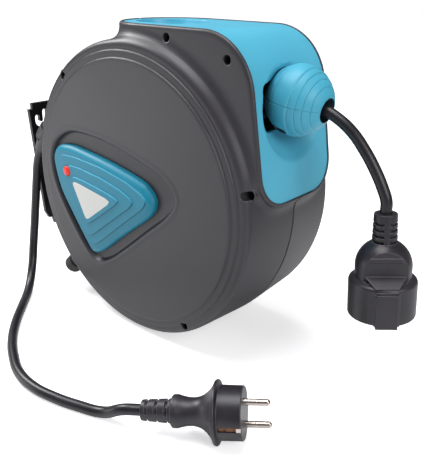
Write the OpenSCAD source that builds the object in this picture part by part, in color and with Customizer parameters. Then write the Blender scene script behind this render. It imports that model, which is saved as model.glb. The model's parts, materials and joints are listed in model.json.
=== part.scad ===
/* [Place on the wall] */
// Distance from the wall to the housing's back
wall_gap = 40; // [38:1:54]
// Height of the drum's axis over the middle of the wall plate
axis_z = 10; // [-10:1:20]
// Distance of the swivel pin from the wall
pivot_x = 22; // [22:1:24]
// Diameter of the swivel pin
pivot_d = 9; // [7:0.5:10]
// Width of the wall plate at its top
plate_w = 77; // [70:1:90]
// Width of the wall plate at its bottom
plate_foot_w = 61; // [50:1:70]
// Height of the wall plate
plate_h = 127; // [120:1:140]
// Thickness of the wall plate and its lugs
plate_t = 4; // [3:0.5:5]
// Diameter of the wall screw holes
wall_hole_d = 5.5; // [4.5:0.5:7]
// Distance between the wall screw holes side by side
wall_hole_w = 32; // [30:1:34]
// Distance between the wall screw holes one above the other
wall_hole_h = 64; // [56:1:66]

/* [Drum housing] */
// Radius of the housing at its seam
shell_r = 132; // [124:1:150]
// Fall of the housing's rim from the seam to the shoulder
rim_fall = 3; // [2:0.5:5]
// Width of the housing over both faces
case_w = 120; // [118:1:140]
// Wall of the shells
wall = 3; // [2:0.2:3.2]
// Radius of the rounded shoulder
shoulder_r = 5; // [3:0.5:6]
// Distance of the raised disc on each face from the shoulder
disc_in = 14; // [12:1:19]
// Distance of the raised band round the disc from the shoulder
band_in = 8; // [6:0.5:10]
// Height of each step on the face
face_step = 1.6; // [0.8:0.1:2]

/* [Mouth block] */
// Width over the cheeks
block_w = 97; // [92:1:104]
// Height of the block's top over the housing's rim
block_rise = 9; // [7:1:16]
// Radius of the corner between top and front
corner_r = 48; // [40:1:52]
// Distance of the front behind the rim, at the height of the mouth
front_in_rim = 7; // [3:1:8]
// Lean of the front
front_lean = 9; // [5:1:12]
// Height of the lip under the fascia
lip_z = 13.5; // [10:0.5:20]
// Radius of the lip's lower corners
lip_corner_r = 28; // [20:1:32]
// Width of the lip that frames the fascia
lip = 3.2; // [2.4:0.2:4]
// Thickness of the fascia
fascia_t = 2.4; // [2:0.2:3]
// Depth of the fascia's face below the lip
fascia_drop = 0.8; // [0.4:0.1:1.2]
// Radius of the grip hollow
grip_r = 26.4; // [22:0.2:27]
// Length of the grip hollow between the middles of its round ends
grip_reach = 15; // [8:1:18]
// Depth of the grip hollow
grip_depth = 21; // [12:1:22]

/* [Mouth and rollers] */
// Drop of the mouth's middle below the line of the cord
mouth_drop = 4; // [2:1:6]
// How much narrower the mouth's opening is than the ball
mouth_narrow = 4; // [3:1:6]
// How much lower the mouth's opening is than the ball
mouth_low = 5; // [4:1:6]
// Radius of the dish round the mouth
dish_r = 43.5; // [40:0.5:44]
// Depth of the dish
dish_depth = 13; // [11:0.5:14]
// Diameter of the guide rollers
roller_d = 10; // [8:0.5:11]
// Diameter of the rollers' pins
roller_pin_d = 3; // [2.5:0.5:4]
// Clear space between the cord and each roller
roller_gap = 1; // [0.6:0.1:1.4]

/* [Cord] */
// Diameter of the cord
cord_d = 8.7; // [8:0.1:9]
// Depth of the outer layer's middle below the flanges' rims
wind_in = 13; // [11:0.5:16]
// Loops of the outer layer that lie on the drum
outer_loops = 3; // [2:1:3]
// Gap between neighbouring loops
loop_gap = 0.6; // [0.5:0.1:1]

/* [Ball stop] */
// Diameter of the ball
ball_d = 54; // [50:1:56]
// Distance of the ball's middle in front of the block's front
ball_out = 6; // [6:0.5:8]
// Downward tilt of the ball
ball_tilt = 10; // [8:1:12]
// Height of the small steps on the ball
ball_step = 0.9; // [0.5:0.1:1.2]

/* [Coupler and plug] */
// Diameter of the coupler's collar
coupler_d = 50; // [48:0.5:54]
// Height of the coupler's collar
collar_h = 30; // [28:0.5:34]
// Diameter of the plug's insert
insert_d = 38.5; // [37:0.5:39]
// Length of the plug's insert
insert_l = 17; // [15:0.5:18]
// Spacing of the contact pins
pin_pitch = 19; // [18.5:0.1:19.5]
// Diameter of the contact pins
pin_d = 4.8; // [4:0.1:5]
// Length of the contact pins
pin_l = 19; // [18:0.5:20]

/* [Spool] */
// Clear space round the flanges, inside the raised discs
flange_gap = 4; // [2:0.5:8]
// Thickness of the flanges
flange_t = 3; // [2.4:0.2:4]
// Clear width between the flanges
spool_w = 66; // [62:1:68]
// Radius of the spool's hub
hub_r = 58; // [50:1:62]
// Diameter of the fixed axle
axle_d = 16; // [14:1:18]
// Radius of the ratchet ring over its teeth
ratchet_r = 62; // [60:1:64]
// Number of ratchet teeth
ratchet_teeth = 12; // [10:1:16]
// Radius of the spring case
spring_case_r = 72; // [66:1:78]
// Turns of the mainspring
spring_turns = 7; // [5:1:8]
// Radius of the slip rings
slip_r = 24; // [22:1:26]

/* [Badge] */
// Depth of the well round the badge
well_depth = 5; // [3:0.5:6]
// Height of the badge over the face
badge_h = 3; // [2:0.5:4]
// Height of each terrace on the badge
terrace = 0.9; // [0.6:0.1:1.2]
// Diameter of the reset button
button_d = 9.4; // [8:0.2:10]
// Travel of the reset button
button_travel = 2; // [1.5:0.5:2.5]

/* [Hidden] */
$fn = 96;
fit = 0.15;          // gap of parts that are pushed together
run_fit = 0.05;      // radial gap of a pin in its bore
clear = 0.3;         // gap of parts that only lie side by side
eps = 0.01;
housing_grey = [0.30, 0.30, 0.31];
panel_blue = [0.36, 0.74, 0.84];
badge_blue = [0.18, 0.56, 0.66];
black = [0.07, 0.07, 0.08];
axis_x = wall_gap + shell_r;
edge_r = shell_r - rim_fall;
disc_r = edge_r - disc_in;
band_r = edge_r - band_in;
flange_r = disc_r - wall - flange_gap;
wind_r = flange_r - wind_in;
mouth_z = wind_r - mouth_drop;
block_top = shell_r + block_rise;
front_x = shell_r - front_in_rim;
ball_x = front_x + ball_out;
mouth_w = ball_d - mouth_narrow;
mouth_h = ball_d - mouth_low;
half_w = block_w / 2;
land_y = case_w / 2 - 2 * face_step;
floor_z = axis_z - shell_r;     // the level that the lead lies on

// ---- helpers ----
module at_drum() { translate([axis_x, 0, axis_z]) children(); }
// A turned piece on the Y axis, from points of radius and place
module turned(profile) { rotate([-90, 0, 0]) rotate_extrude() polygon(profile); }
// A turned piece on the X axis
module turned_x(profile) { rotate([0, 90, 0]) rotate_extrude() polygon(profile); }
// A rod along Y between two places
module rod_y(d, from, to) { translate([0, from, 0]) rotate([-90, 0, 0]) cylinder(d = d, h = to - from); }
module rod_x(d, from, to) { translate([from, 0, 0]) rotate([0, 90, 0]) cylinder(d = d, h = to - from); }
module ring_y(r_out, r_in, from, to) {
    turned([[r_in, from], [r_out, from], [r_out, to], [r_in, to]]);
}
function arc(cx, cy, r, a0, a1, n) = [for (i = [0:n]) let (a = a0 + (a1 - a0) * i / n)
    [cx + r * cos(a), cy + r * sin(a)]];
function rounded_rect(w, h, r, n = 6) = concat(
    arc(w / 2 - r, h / 2 - r, r, 0, 90, n), arc(r - w / 2, h / 2 - r, r, 90, 180, n),
    arc(r - w / 2, r - h / 2, r, 180, 270, n), arc(w / 2 - r, r - h / 2, r, 270, 360, n));

// A closed curve through a few points
function loop_at(p, i, t) = let (n = len(p), a = p[(i + n - 1) % n], b = p[i], c = p[(i + 1) % n],
    d = p[(i + 2) % n]) 0.5 * (2 * b + (c - a) * t + (2 * a - 5 * b + 4 * c - d) * t * t
    + (3 * b - a - 3 * c + d) * t * t * t);
function smooth_loop(p, n) = [for (i = [0:len(p) - 1], k = [0:n - 1]) loop_at(p, i, k / n)];
// The same points, each moved outwards along its own normal
function grown(p, d) = [for (i = [0:len(p) - 1]) let (n = len(p), v = p[(i + 1) % n] - p[(i + n - 1) % n])
    p[i] + d * [-v[1], v[0]] / norm(v)];

// ---- swept tubes ----
function cross3(a, b) = [a[1] * b[2] - a[2] * b[1], a[2] * b[0] - a[0] * b[2], a[0] * b[1] - a[1] * b[0]];
function unit(v) = v / norm(v);
function heading(p, i) = unit(p[min(i + 1, len(p) - 1)] - p[max(i - 1, 0)]);
function first_side(t) = unit(cross3(t, abs(t[2]) > 0.9 ? [1, 0, 0] : [0, 0, 1]));
// Side vectors carried along the route without twisting
function sides(p, i = 0, u = undef, out = []) = i == len(p) ? out :
    let (t = heading(p, i), v = i == 0 ? first_side(t) : unit(u - t * (u * t)))
    sides(p, i + 1, v, concat(out, [v]));
module tube(route, d, sides_n) {
    u = sides(route);
    n = len(route);
    points = [for (i = [0:n - 1], k = [0:sides_n - 1]) let (t = heading(route, i), a = 360 * k / sides_n)
        route[i] + d / 2 * (cos(a) * u[i] + sin(a) * cross3(t, u[i]))];
    skin = [for (i = [0:n - 2], k = [0:sides_n - 1]) let (a = i * sides_n + k,
        b = i * sides_n + (k + 1) % sides_n) each [[a, b + sides_n, b], [a, a + sides_n, b + sides_n]]];
    first = [for (k = [1:sides_n - 2]) [0, k, k + 1]];
    b = (n - 1) * sides_n;
    last = [for (k = [1:sides_n - 2]) [b, b + k + 1, b + k]];
    polyhedron(points, concat(skin, first, last));
}
// A smooth open curve through hand-chosen points
function curve_at(p, i, t) = let (a = p[max(i - 1, 0)], b = p[i], c = p[i + 1],
    d = p[min(i + 2, len(p) - 1)]) 0.5 * (2 * b + (c - a) * t + (2 * a - 5 * b + 4 * c - d) * t * t
    + (3 * b - a - 3 * c + d) * t * t * t);
function smooth_route(p, n) = concat([for (i = [0:len(p) - 2], k = [0:n - 1]) curve_at(p, i, k / n)],
    [p[len(p) - 1]]);

// ---- wall bracket ----
lug_z = plate_h / 2 - 12;       // height of each lug's middle
lug_w = 26;
module plate_outline() {
    notch = 4;
    polygon([[-plate_w / 2 + notch, plate_h / 2], [plate_w / 2 - notch, plate_h / 2],
        [plate_w / 2 - notch, plate_h / 2 - 6], [plate_w / 2, plate_h / 2 - 6],
        [plate_foot_w / 2, 8 - plate_h / 2], [plate_foot_w / 2 - 4, -plate_h / 2],
        [22, -plate_h / 2], [20, -plate_h / 2 - 8], [-20, -plate_h / 2 - 8], [-22, -plate_h / 2],
        [4 - plate_foot_w / 2, -plate_h / 2], [-plate_foot_w / 2, 8 - plate_h / 2],
        [-plate_w / 2, plate_h / 2 - 6], [-plate_w / 2 + notch, plate_h / 2 - 6]]);
}
// The hook-shaped slot that hangs on a screw, its longer arm towards the middle
hook_y = 25;
hook_z = plate_h / 2 - 18;
hook_arm = 4.6;
module hook_slot() {
    r = wall_hole_d / 2;
    translate([-hook_arm, 3]) circle(r);
    translate([-hook_arm - r, 0]) square([2 * r, 3]);
    translate([hook_arm, 8]) circle(r);
    translate([hook_arm - r, 0]) square([2 * r, 8]);
    difference() {
        circle(hook_arm + r);
        circle(hook_arm - r);
        translate([-10, 0]) square([20, 10]);
    }
}
module on_wall() { rotate([90, 0, 90]) children(); }
module lug() {
    rotate([0, 0, 0]) linear_extrude(plate_t, center = true) difference() {
        union() {
            translate([pivot_x, 0]) circle(lug_w / 2);
            translate([plate_t / 2, -lug_w / 2]) square([pivot_x - plate_t / 2, lug_w]);
        }
        translate([pivot_x, 0]) circle(pivot_d / 2 + run_fit);
    }
}
module wall_plate() color(black) {
    difference() {
        on_wall() linear_extrude(plate_t) difference() {
            plate_outline();
            for (s = [-1, 1]) translate([s * hook_y, hook_z]) mirror([s > 0 ? 1 : 0, 0]) hook_slot();
        }
        for (y = [-1, 1], z = [-1, 1]) translate([-1, y * wall_hole_w / 2, z * wall_hole_h / 2])
            rotate([0, 90, 0]) cylinder(d = wall_hole_d, h = plate_t + 2);
    }
    for (s = [-1, 1]) translate([0, 0, s * lug_z]) lug();
}
pin_over = 5;
module swivel_pin() color("silver") translate([pivot_x, 0, 0]) {
    top = lug_z + plate_t / 2 + pin_over;
    difference() {
        translate([0, 0, -top]) cylinder(d = pivot_d, h = 2 * top);
        for (s = [-1, 1]) translate([0, 0, s * (lug_z + plate_t / 2 + 1.5)]) difference() {
            cylinder(d = pivot_d + 2, h = 1.2, center = true);
            cylinder(d = pivot_d - 1.6, h = 2, center = true);
        }
    }
}
module swivel_circlips() color("silver") for (s = [-1, 1])
    translate([pivot_x, 0, s * (lug_z + plate_t / 2 + 1.5)]) linear_extrude(1, center = true) difference() {
        circle(pivot_d / 2 + 2.4);
        circle(pivot_d / 2 - 0.7);
        translate([1, -2.5]) square([20, 5]);
    }

// ---- swivel yoke: a barrel on the pin and a saddle on the housing's back ----
yoke_h = 2 * (lug_z - plate_t / 2 - clear);
saddle_h = 86;
saddle_w = 46;
yoke_barrel_d = 19;
yoke_screw_y = 15;
yoke_screw_z = 30;
module yoke_screw_places() {
    for (z = [-1, 1], y = [-1, 1])
        at_drum() translate([0, y * yoke_screw_y, z * yoke_screw_z]) children();
}
function shell_back(z) = sqrt(pow(shell_r, 2) - z * z);
module swivel_yoke() color(black) difference() {
    union() {
        translate([pivot_x, 0, -yoke_h / 2]) cylinder(d = yoke_barrel_d, h = yoke_h);
        intersection() {
            translate([pivot_x - 2, -6, -yoke_h / 2]) cube([60, 12, yoke_h]);
            at_drum() rod_outside();
        }
        intersection() {
            at_drum() translate([-shell_r - 8, -saddle_w / 2, -saddle_h / 2]) cube([70, saddle_w, saddle_h]);
            at_drum() difference() {
                turned([[0, -saddle_w], [shell_r + 5, -saddle_w], [shell_r + 5, saddle_w], [0, saddle_w]]);
                turned([[0, -saddle_w], [shell_r + clear, -saddle_w], [shell_r + clear, saddle_w],
                    [0, saddle_w]]);
            }
        }
    }
    translate([pivot_x, 0, -yoke_h]) cylinder(d = pivot_d + 2 * run_fit, h = 2 * yoke_h);
    yoke_screw_places() rod_x(4.6, -shell_r - 20, -80);
    yoke_screw_places() rod_x(9, -shell_r - 20, -shell_back(yoke_screw_z) - 3.2);
}
// Everything outside the housing's circumference
module rod_outside() {
    difference() {
        translate([-shell_r - 60, -50, -90]) cube([120, 100, 180]);
        rod_y(2 * (shell_r + clear), -60, 60);
    }
}
module yoke_screws() color("silver") yoke_screw_places() {
    seat = -shell_back(yoke_screw_z) - 3.2;
    difference() {
        union() {
            rod_x(8, seat - 2.6, seat);
            rod_x(4.2, seat - eps, seat + 14);
        }
        rod_x(2.4, seat - 3, seat - 1);
    }
}

// ---- mouth block ----
corner_z = block_top - corner_r;
function block_front(z) = front_x - tan(front_lean) * (z - mouth_z);
corner_x = block_front(corner_z) - corner_r / cos(front_lean);
block_back = 6;                 // middle of the round rear end, seen from above
edge_round = 2.6;
lip_bevel = 2.5;
function block_outline(inset, back, low) = concat([[back, low], [back, block_top - inset]],
    arc(corner_x, corner_z, corner_r - inset, 90, front_lean, 9),
    [[block_front(low + lip_bevel) - inset / cos(front_lean), low + lip_bevel],
     [block_front(low) - lip_bevel - inset, low]]);
function rise(over, r) = over <= 0 ? 0 : r - sqrt(max(r * r - over * over, 0));
// A solid through a row of upright outlines that all have the same number of points
module loft(rings) {
    n = len(rings[0]);
    points = [for (ring = rings) each ring];
    skin = [for (i = [0:len(rings) - 2], k = [0:n - 1]) let (a = i * n + k, b = i * n + (k + 1) % n)
        each [[a, b + n, b], [a, a + n, b + n]]];
    first = [for (k = [1:n - 2]) [0, k, k + 1]];
    end = (len(rings) - 1) * n;
    last = [for (k = [1:n - 2]) [end, end + k + 1, end + k]];
    polyhedron(points, concat(skin, first, last));
}
function upright(outline, y) = [for (p = outline) [p[0], y, p[1]]];
// One half of the block: the outlines follow the round rear end, the lower corners and the edge
module block_half(side, w, inset, low, low_r, round_r) {
    mirror([0, side < 0 ? 1 : 0, 0]) loft([for (i = [0:9]) let (y = w * sin(10 * i))
        upright(block_outline(inset + rise(y - w + round_r, round_r),
            block_back - sqrt(max(w * w - y * y, 0)), low + rise(y - w + low_r, low_r)), y)]);
}
// The channel between the cheeks, open to the drum and to the outside
module block_channel(side, w) {
    r = lip_corner_r - lip;
    mirror([0, side < 0 ? 1 : 0, 0]) loft([for (i = [0:9]) let (y = w * sin(10 * i))
        upright(block_outline(-4, block_back - sqrt(max(w * w - y * y, 0)),
            lip_z + lip + rise(y - w + r, r)), i == 0 ? -0.5 : y)]);
}

// ---- housing shells ----
function shell_profile(s) = concat([[0, 0], [shell_r - 0.7, 0], [shell_r, s * 0.7]],
    [for (p = arc(edge_r - shoulder_r, land_y - shoulder_r, shoulder_r, 0, 90, 6)) [p[0], s * p[1]]],
    [[band_r, s * land_y], [band_r - 0.5, s * (land_y + face_step)], [disc_r, s * (land_y + face_step)],
     [disc_r - 0.6, s * case_w / 2], [0, s * case_w / 2]]);
function cavity_profile(s) = [[0, -s], [shell_r - wall, -s], [edge_r - wall, s * (land_y - wall - 4)],
    [edge_r - wall - 4, s * (land_y - wall)], [disc_r - wall, s * (land_y - wall)],
    [disc_r - wall, s * (case_w / 2 - wall)], [0, s * (case_w / 2 - wall)]];
inner_face = case_w / 2 - wall;
well_floor = -case_w / 2 + well_depth;
well_inner = case_w / 2 - well_depth - wall;    // inside of the well's floor
front_in = -spool_w / 2;
rear_in = spool_w / 2;
ratchet_y0 = -44;
ratchet_y1 = front_in - flange_t;
spring_y0 = rear_in + flange_t;
spring_case_w = inner_face - spring_y0 - 4;
// Screws that join the shells: three in the block, two in the rim
rim_screw_r = edge_r - 6;
screw_places = [[40.5, block_top - 8.5], [front_x - 25, block_top - 19.5], [front_x, lip_z + 14.5],
    rim_screw_r * [cos(131), sin(131)], rim_screw_r * [cos(-58), sin(-58)]];
screw_head_d = 6.4;
screw_seat = 24;                // depth of the screw heads' seats from the seam
screw_boss_d = 8.8;
module at_screws(s) { for (p = screw_places) translate([p[0], 0, p[1]]) mirror([0, s < 0 ? 1 : 0, 0]) children(); }
axle_boss_d = axle_d + 10;
foot_angle = -136;
foot_y = 40;
foot_post_d = 16;
foot_end_r = shell_r + 11;
module foot_place(s) { translate([0, s * foot_y, 0]) rotate([0, -foot_angle, 0]) children(); }

// The badge's outline on the front face, from the upper left corner round clockwise
badge_points = [[-92, 14], [-82, 29], [-52, 34], [-6, 28], [24, 17], [38, 5], [41, -10],
    [23, -31], [-15, -55], [-32, -62], [-44, -60], [-67, -34], [-86, -8]];
badge_loop = smooth_loop(badge_points, 4);
well_points = [[-98, 18], [-84, 42], [-60, 52], [-8, 42], [38, 29], [56, 17], [61, 3],
    [36, -26], [-5, -62], [-32, -76], [-50, -75], [-78, -44], [-94, -10]];
well_loop = smooth_loop(well_points, 3);
module badge_well(extra) {
    loft([upright(grown(well_loop, 1.5 + extra), -case_w / 2 + (extra > 0 ? 1 : -1)),
        upright(grown(well_loop, extra), -case_w / 2 + 0.4 + extra),
        upright(grown(smooth_loop(badge_points, 3), 2.5 + extra), -case_w / 2 + well_depth + extra)]);
}
button_x = -75;
button_z = 8;
stem_d = 5;
module shell_common(s) {
    difference() {
        union() {
            turned(shell_profile(s));
            block_half(s, half_w, 0, lip_z, lip_corner_r, edge_round);
            foot_place(s) rod_x(foot_post_d, shell_r - 12, foot_end_r);
            if (s < 0) lead_exit() rod_x(lead_boss_d, -12, 9);
        }
        turned(cavity_profile(s));
        block_channel(s, half_w - lip);
    }
    // Screw bosses: round ones from the seam to the cheek, twelve-sided ones to the face
    for (i = [0:4]) translate([screw_places[i][0], 0, screw_places[i][1]]) mirror([0, s < 0 ? 1 : 0, 0])
        rotate([-90, 0, 0]) cylinder(d = screw_boss_d, h = i < 3 ? half_w - lip / 2 : land_y - wall + 0.5,
            $fn = i < 3 ? 96 : 12);
    for (z = [-1, 1]) translate([0, s * yoke_screw_y, z * yoke_screw_z])
        rod_x(10, -shell_back(yoke_screw_z) + 1.5, -shell_back(yoke_screw_z) + 14);
    // Boss that holds the axle's end
    boss_from = s < 0 ? well_inner : inner_face;
    difference() {
        turned([[0, s * boss_from], [axle_boss_d / 2, s * boss_from],
            [axle_boss_d / 2 - 0.6, s * (boss_from - 5)], [0, s * (boss_from - 5)]]);
        rod_y(axle_d + 2 * run_fit, -boss_from, boss_from);
    }
    // Seat that carries the roller frame
    difference() {
        translate([frame_x0 + 3, s > 0 ? frame_w / 2 + clear / 2 : -half_w + lip / 2, wind_r - 5])
            cube([frame_x1 - frame_x0 - 8, half_w - lip / 2 - frame_w / 2 - clear / 2, 10]);
    }
}
module yoke_pilots(s) {
    for (z = [-1, 1]) translate([0, s * yoke_screw_y, z * yoke_screw_z])
        rod_x(4.3, -shell_r - 4, -shell_back(yoke_screw_z) + 12);
}
module front_shell() color(housing_grey) at_drum() difference() {
    union() {
        shell_common(-1);
        badge_well(wall);
    }
    badge_well(0);
    yoke_pilots(-1);
    at_screws(-1) rod_y(4.2, -1, case_w);
    at_screws(-1) rod_y(screw_head_d + 0.6, screw_seat, case_w);
    // Holes for the button's stem and the lead
    translate([button_x, 0, button_z]) rod_y(stem_d + 1, -case_w / 2 - 1, -40);
    lead_exit() rod_x(gland_d + 2 * fit, -30, 26);
}
module rear_shell() color(housing_grey) at_drum() difference() {
    shell_common(1);
    yoke_pilots(1);
    at_screws(1) rod_y(3.4, -1, 13);
}
module shell_screws() color("silver") at_drum() for (p = screw_places) translate([p[0], 0, p[1]])
    difference() {
        union() {
            rod_y(screw_head_d, -screw_seat - 3.2, -screw_seat);
            rod_y(3.3, -screw_seat - eps, 12);
        }
        rod_y(2.6, -screw_seat - 4, -screw_seat - 1.4);
    }
module rubber_feet() color(black) at_drum() for (s = [-1, 1]) foot_place(s)
    turned_x([[0, foot_end_r], [foot_post_d / 2 + 0.6, foot_end_r], [9.3, foot_end_r + 1],
        [9.3, foot_end_r + 12], [8, foot_end_r + 14], [0, foot_end_r + 14]]);

// ---- fascia ----
module round_through(w, h, r, from, to) {
    translate([from, 0, 0]) rotate([90, 0, 90]) linear_extrude(to - from) polygon(rounded_rect(w, h, r));
}
fascia_w = half_w - lip - fit;
dish_ball_r = (dish_r * dish_r + dish_depth * dish_depth) / (2 * dish_depth);
module at_dish() {
    translate([front_x, 0, mouth_z]) rotate([0, -front_lean, 0])
        translate([dish_ball_r - dish_depth - fascia_drop, 0, 0]) children();
}
grip_x = 1;
module grip_form(r) {
    translate([grip_x, 0, block_top - fascia_drop - grip_depth + grip_r]) {
        for (s = [-1, 1]) translate([s * grip_reach / 2, 0, 0]) sphere(r = r);
        rod_x(2 * r, -grip_reach / 2, grip_reach / 2);
    }
}
module mouth_fascia() color(panel_blue) at_drum() difference() {
    union() {
        difference() {
            union() for (s = [-1, 1]) block_half(s, fascia_w, fascia_drop, lip_z + lip + fit,
                lip_corner_r - lip, 0.4);
            translate([0, half_w, 0]) rotate([90, 0, 0]) linear_extrude(block_w)
                polygon(block_outline(fascia_drop + fascia_t, -80, -10));
        }
        intersection() {
            at_dish() sphere(r = dish_ball_r + fascia_t);
            translate([front_x - 30, 0, mouth_z]) rod_x(2 * dish_r + 4, 0, 60);
            translate([0, half_w, 0]) rotate([90, 0, 0]) linear_extrude(block_w)
                polygon(block_outline(fascia_drop + fascia_t / 2, -80, -10));
        }
        intersection() {
            grip_form(grip_r + fascia_t);
            translate([-60, -half_w, 100])
                cube([140, block_w, block_top - fascia_drop - fascia_t / 2 - 100]);
        }
    }
    at_dish() sphere(r = dish_ball_r);
    grip_form(grip_r);
    translate([0, 0, mouth_z - 1]) round_through(mouth_w, mouth_h, 9, front_x - 35, front_x + 15);
}

// ---- roller cage in the mouth ----
frame_x0 = front_x - 47;
frame_x1 = frame_x0 + 25;
frame_t = 4;
roller_off = cord_d / 2 + roller_gap + roller_d / 2;
frame_h = 2 * (roller_off + roller_d / 2 + 1.65 + frame_t);
frame_w = frame_h + 10;
flat_x = frame_x0 + 6;          // the level rollers
upright_x = frame_x0 + 18.5;    // the upright rollers
module roller_frame() color([0.16, 0.16, 0.17]) at_drum() translate([0, 0, wind_r]) difference() {
    round_through(frame_w, frame_h, 5, frame_x0, frame_x1);
    round_through(frame_w - 2 * frame_t, frame_h - 2 * frame_t, 2, frame_x0 - 1, frame_x1 + 1);
    roller_axes() cylinder(d = roller_pin_d + 2 * run_fit, h = 2 * frame_w, center = true);
}
module roller_axes() {
    for (s = [-1, 1]) {
        translate([flat_x, 0, s * roller_off]) rotate([90, 0, 0]) children();
        translate([upright_x, s * roller_off, 0]) children();
    }
}
module roller_pins() color("silver") at_drum() translate([0, 0, wind_r]) for (s = [-1, 1]) {
    translate([flat_x, 0, s * roller_off]) rod_y(roller_pin_d, -frame_w / 2, frame_w / 2);
    translate([upright_x, s * roller_off, -frame_h / 2]) cylinder(d = roller_pin_d, h = frame_h);
}
module roller(length) {
    difference() {
        union() {
            cylinder(d = roller_d, h = length - 1, center = true);
            cylinder(d = roller_d - 2, h = length, center = true);
        }
        cylinder(d = roller_pin_d + 2 * run_fit, h = length + 2, center = true);
    }
}
module flat_roller(s) {
    at_drum() translate([flat_x, 0, wind_r + s * roller_off]) rotate([90, 0, 0])
        roller(frame_w - 2 * frame_t - 2 * clear);
}
module upright_roller(s) {
    at_drum() translate([upright_x, s * roller_off, wind_r]) roller(frame_h - 2 * frame_t - 2 * clear);
}
module upper_roller() color([0.62, 0.58, 0.54]) flat_roller(1);
module lower_roller() color([0.62, 0.58, 0.54]) flat_roller(-1);
module near_roller() color([0.62, 0.58, 0.54]) upright_roller(-1);
module far_roller() color([0.62, 0.58, 0.54]) upright_roller(1);

// ---- badge, label, button and cut-out ----
badge_top = -case_w / 2 - badge_h;
terrace_points = [[-86, 19], [-79, 23], [-54, 23], [-18, 19], [14, 12.5], [29, 7.5], [31, 2],
    [23, -6], [-11, -32], [-37, -53], [-44, -57], [-51, -55]];
inner_points_2 = [[-73, 9], [-70, 11.5], [-54, 11], [-30, 8], [-12, 5], [-2, 2.5], [-1, -1],
    [-6, -6], [-22, -19], [-37, -33], [-44, -37], [-51, -33]];
label_points = [[-67, 2.5], [-64, 4], [-54, 3], [-38, 0.5], [-22, -2.5], [-15, -4.5], [-14, -7],
    [-18, -10.5], [-30, -19], [-41, -27], [-46.5, -30.5], [-50, -27]];
function between(a, b, k) = [for (i = [0:len(a) - 1]) a[i] * (1 - k) + b[i] * k];
module badge_cover() color(badge_blue) at_drum() difference() {
    union() {
        loft([upright(grown(badge_loop, -7), badge_top), upright(grown(badge_loop, -2), badge_top + 2),
            upright(badge_loop, badge_top + 5), upright(badge_loop, well_floor)]);
        for (i = [0:2]) translate([0, badge_top + 1, 0]) rotate([90, 0, 0])
            linear_extrude(1 + terrace * (i + 1)) polygon(between(terrace_points, inner_points_2, i / 2));
    }
    translate([button_x, 0, button_z]) rod_y(button_d + 2 * clear, -case_w, button_seat);
    translate([button_x, 0, button_z]) rod_y(stem_d + 1, -case_w, -30);
    translate([0, badge_top - 3 * terrace + 0.3, 0]) rotate([90, 0, 0]) linear_extrude(2)
        polygon(grown(label_points, fit));
}
module label_plate() color("gainsboro") at_drum()
    translate([0, badge_top - 3 * terrace + 0.3, 0]) rotate([90, 0, 0]) linear_extrude(0.4)
        polygon(label_points);
button_seat = well_floor - 1.5;         // floor of the button's bore in the badge
button_face = badge_top - terrace - 2.6;
button_under = button_face + 3.6;       // underside of the head
spring_wire = 0.8;
cutout_y = -well_inner;
stem_end = cutout_y + 2;
module reset_button() color("red") at_drum() translate([button_x, 0, button_z]) {
    turned([[0, button_face], [button_d / 2 - 0.8, button_face + 0.1], [button_d / 2, button_face + 1],
        [button_d / 2, button_under], [stem_d / 2, button_under], [stem_d / 2, stem_end], [0, stem_end]]);
}
module reset_spring() color("silver") at_drum() translate([button_x, 0, button_z])
    tube(coil_route(stem_d / 2 + 1.15, button_under + spring_wire / 2 + 0.1,
        button_seat - spring_wire / 2 - 0.1, 3, 8), spring_wire, 6);
function coil_route(r, from, to, turns, rings) = [for (i = [0:turns * rings]) let (a = 360 * i / rings)
    [r * cos(a), from + (to - from) * i / (turns * rings), r * sin(a)]];
module thermal_cutout() color([0.12, 0.12, 0.13]) at_drum() translate([button_x, 0, button_z])
    difference() {
        union() {
            translate([-8, cutout_y, -8]) cube([16, 9, 16]);
            for (s = [-1, 1]) translate([s * 5 - 0.4, cutout_y + 9 - eps, -3]) cube([0.8, 4, 6]);
        }
        rod_y(stem_d + 1, cutout_y - 1, stem_end + button_travel + 0.5);
    }

// ---- fixed parts on the axle and the front shell ----
module axle() color("silver") at_drum() difference() {
    rod_y(axle_d, 0.3 - well_inner, inner_face - 0.3);
    translate([-1, spring_y0 + 2, -axle_d]) cube([2, spring_case_w - 4, 2 * axle_d]);
}
slip_w = 2.8;
slip_y0 = 0.9 - well_inner;     // outer face of the first slip ring
slip_pitch = (ratchet_y1 - slip_y0 - slip_w - 0.8) / 2;
holder_x0 = slip_r + 2.2;
ratchet_bore_r = hub_r - 12;
holder_l = sqrt(pow(ratchet_bore_r - 0.8, 2) - 81) - holder_x0;     // its far corners clear the ring
module brush_holder() color([0.14, 0.14, 0.15]) at_drum() difference() {
    translate([holder_x0, -well_inner, -9]) cube([holder_l, well_inner + ratchet_y1 - 1, 18]);
    for (i = [0:2]) translate([holder_x0 - 1, slip_y0 + slip_pitch * i + 0.2, -4])
        cube([holder_l - 1, slip_w - 0.4, 8]);
}
module carbon_brushes() color([0.2, 0.2, 0.2]) at_drum() for (i = [0:2])
    translate([0, slip_y0 + slip_pitch * i + 0.3, -3.9]) difference() {
        translate([slip_r - 4, 0, 0]) cube([holder_l, slip_w - 0.6, 7.8]);
        translate([0, 0, 3.9]) rod_y(2 * (slip_r + 0.1), -1, slip_w + 1);
    }
module terminal_block() color("ivory") at_drum() translate([37 - disc_r, -inner_face, 60]) difference() {
    cube([34, 12, 16]);
    for (i = [0:2]) {
        translate([6 + 11 * i, -1, 8]) rod_y(4, 4, 20);
        translate([6 + 11 * i, 6, -1]) cylinder(d = 3.6, h = 30);
    }
}

// ---- ratchet and pawl ----
tooth_h = 6;
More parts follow.
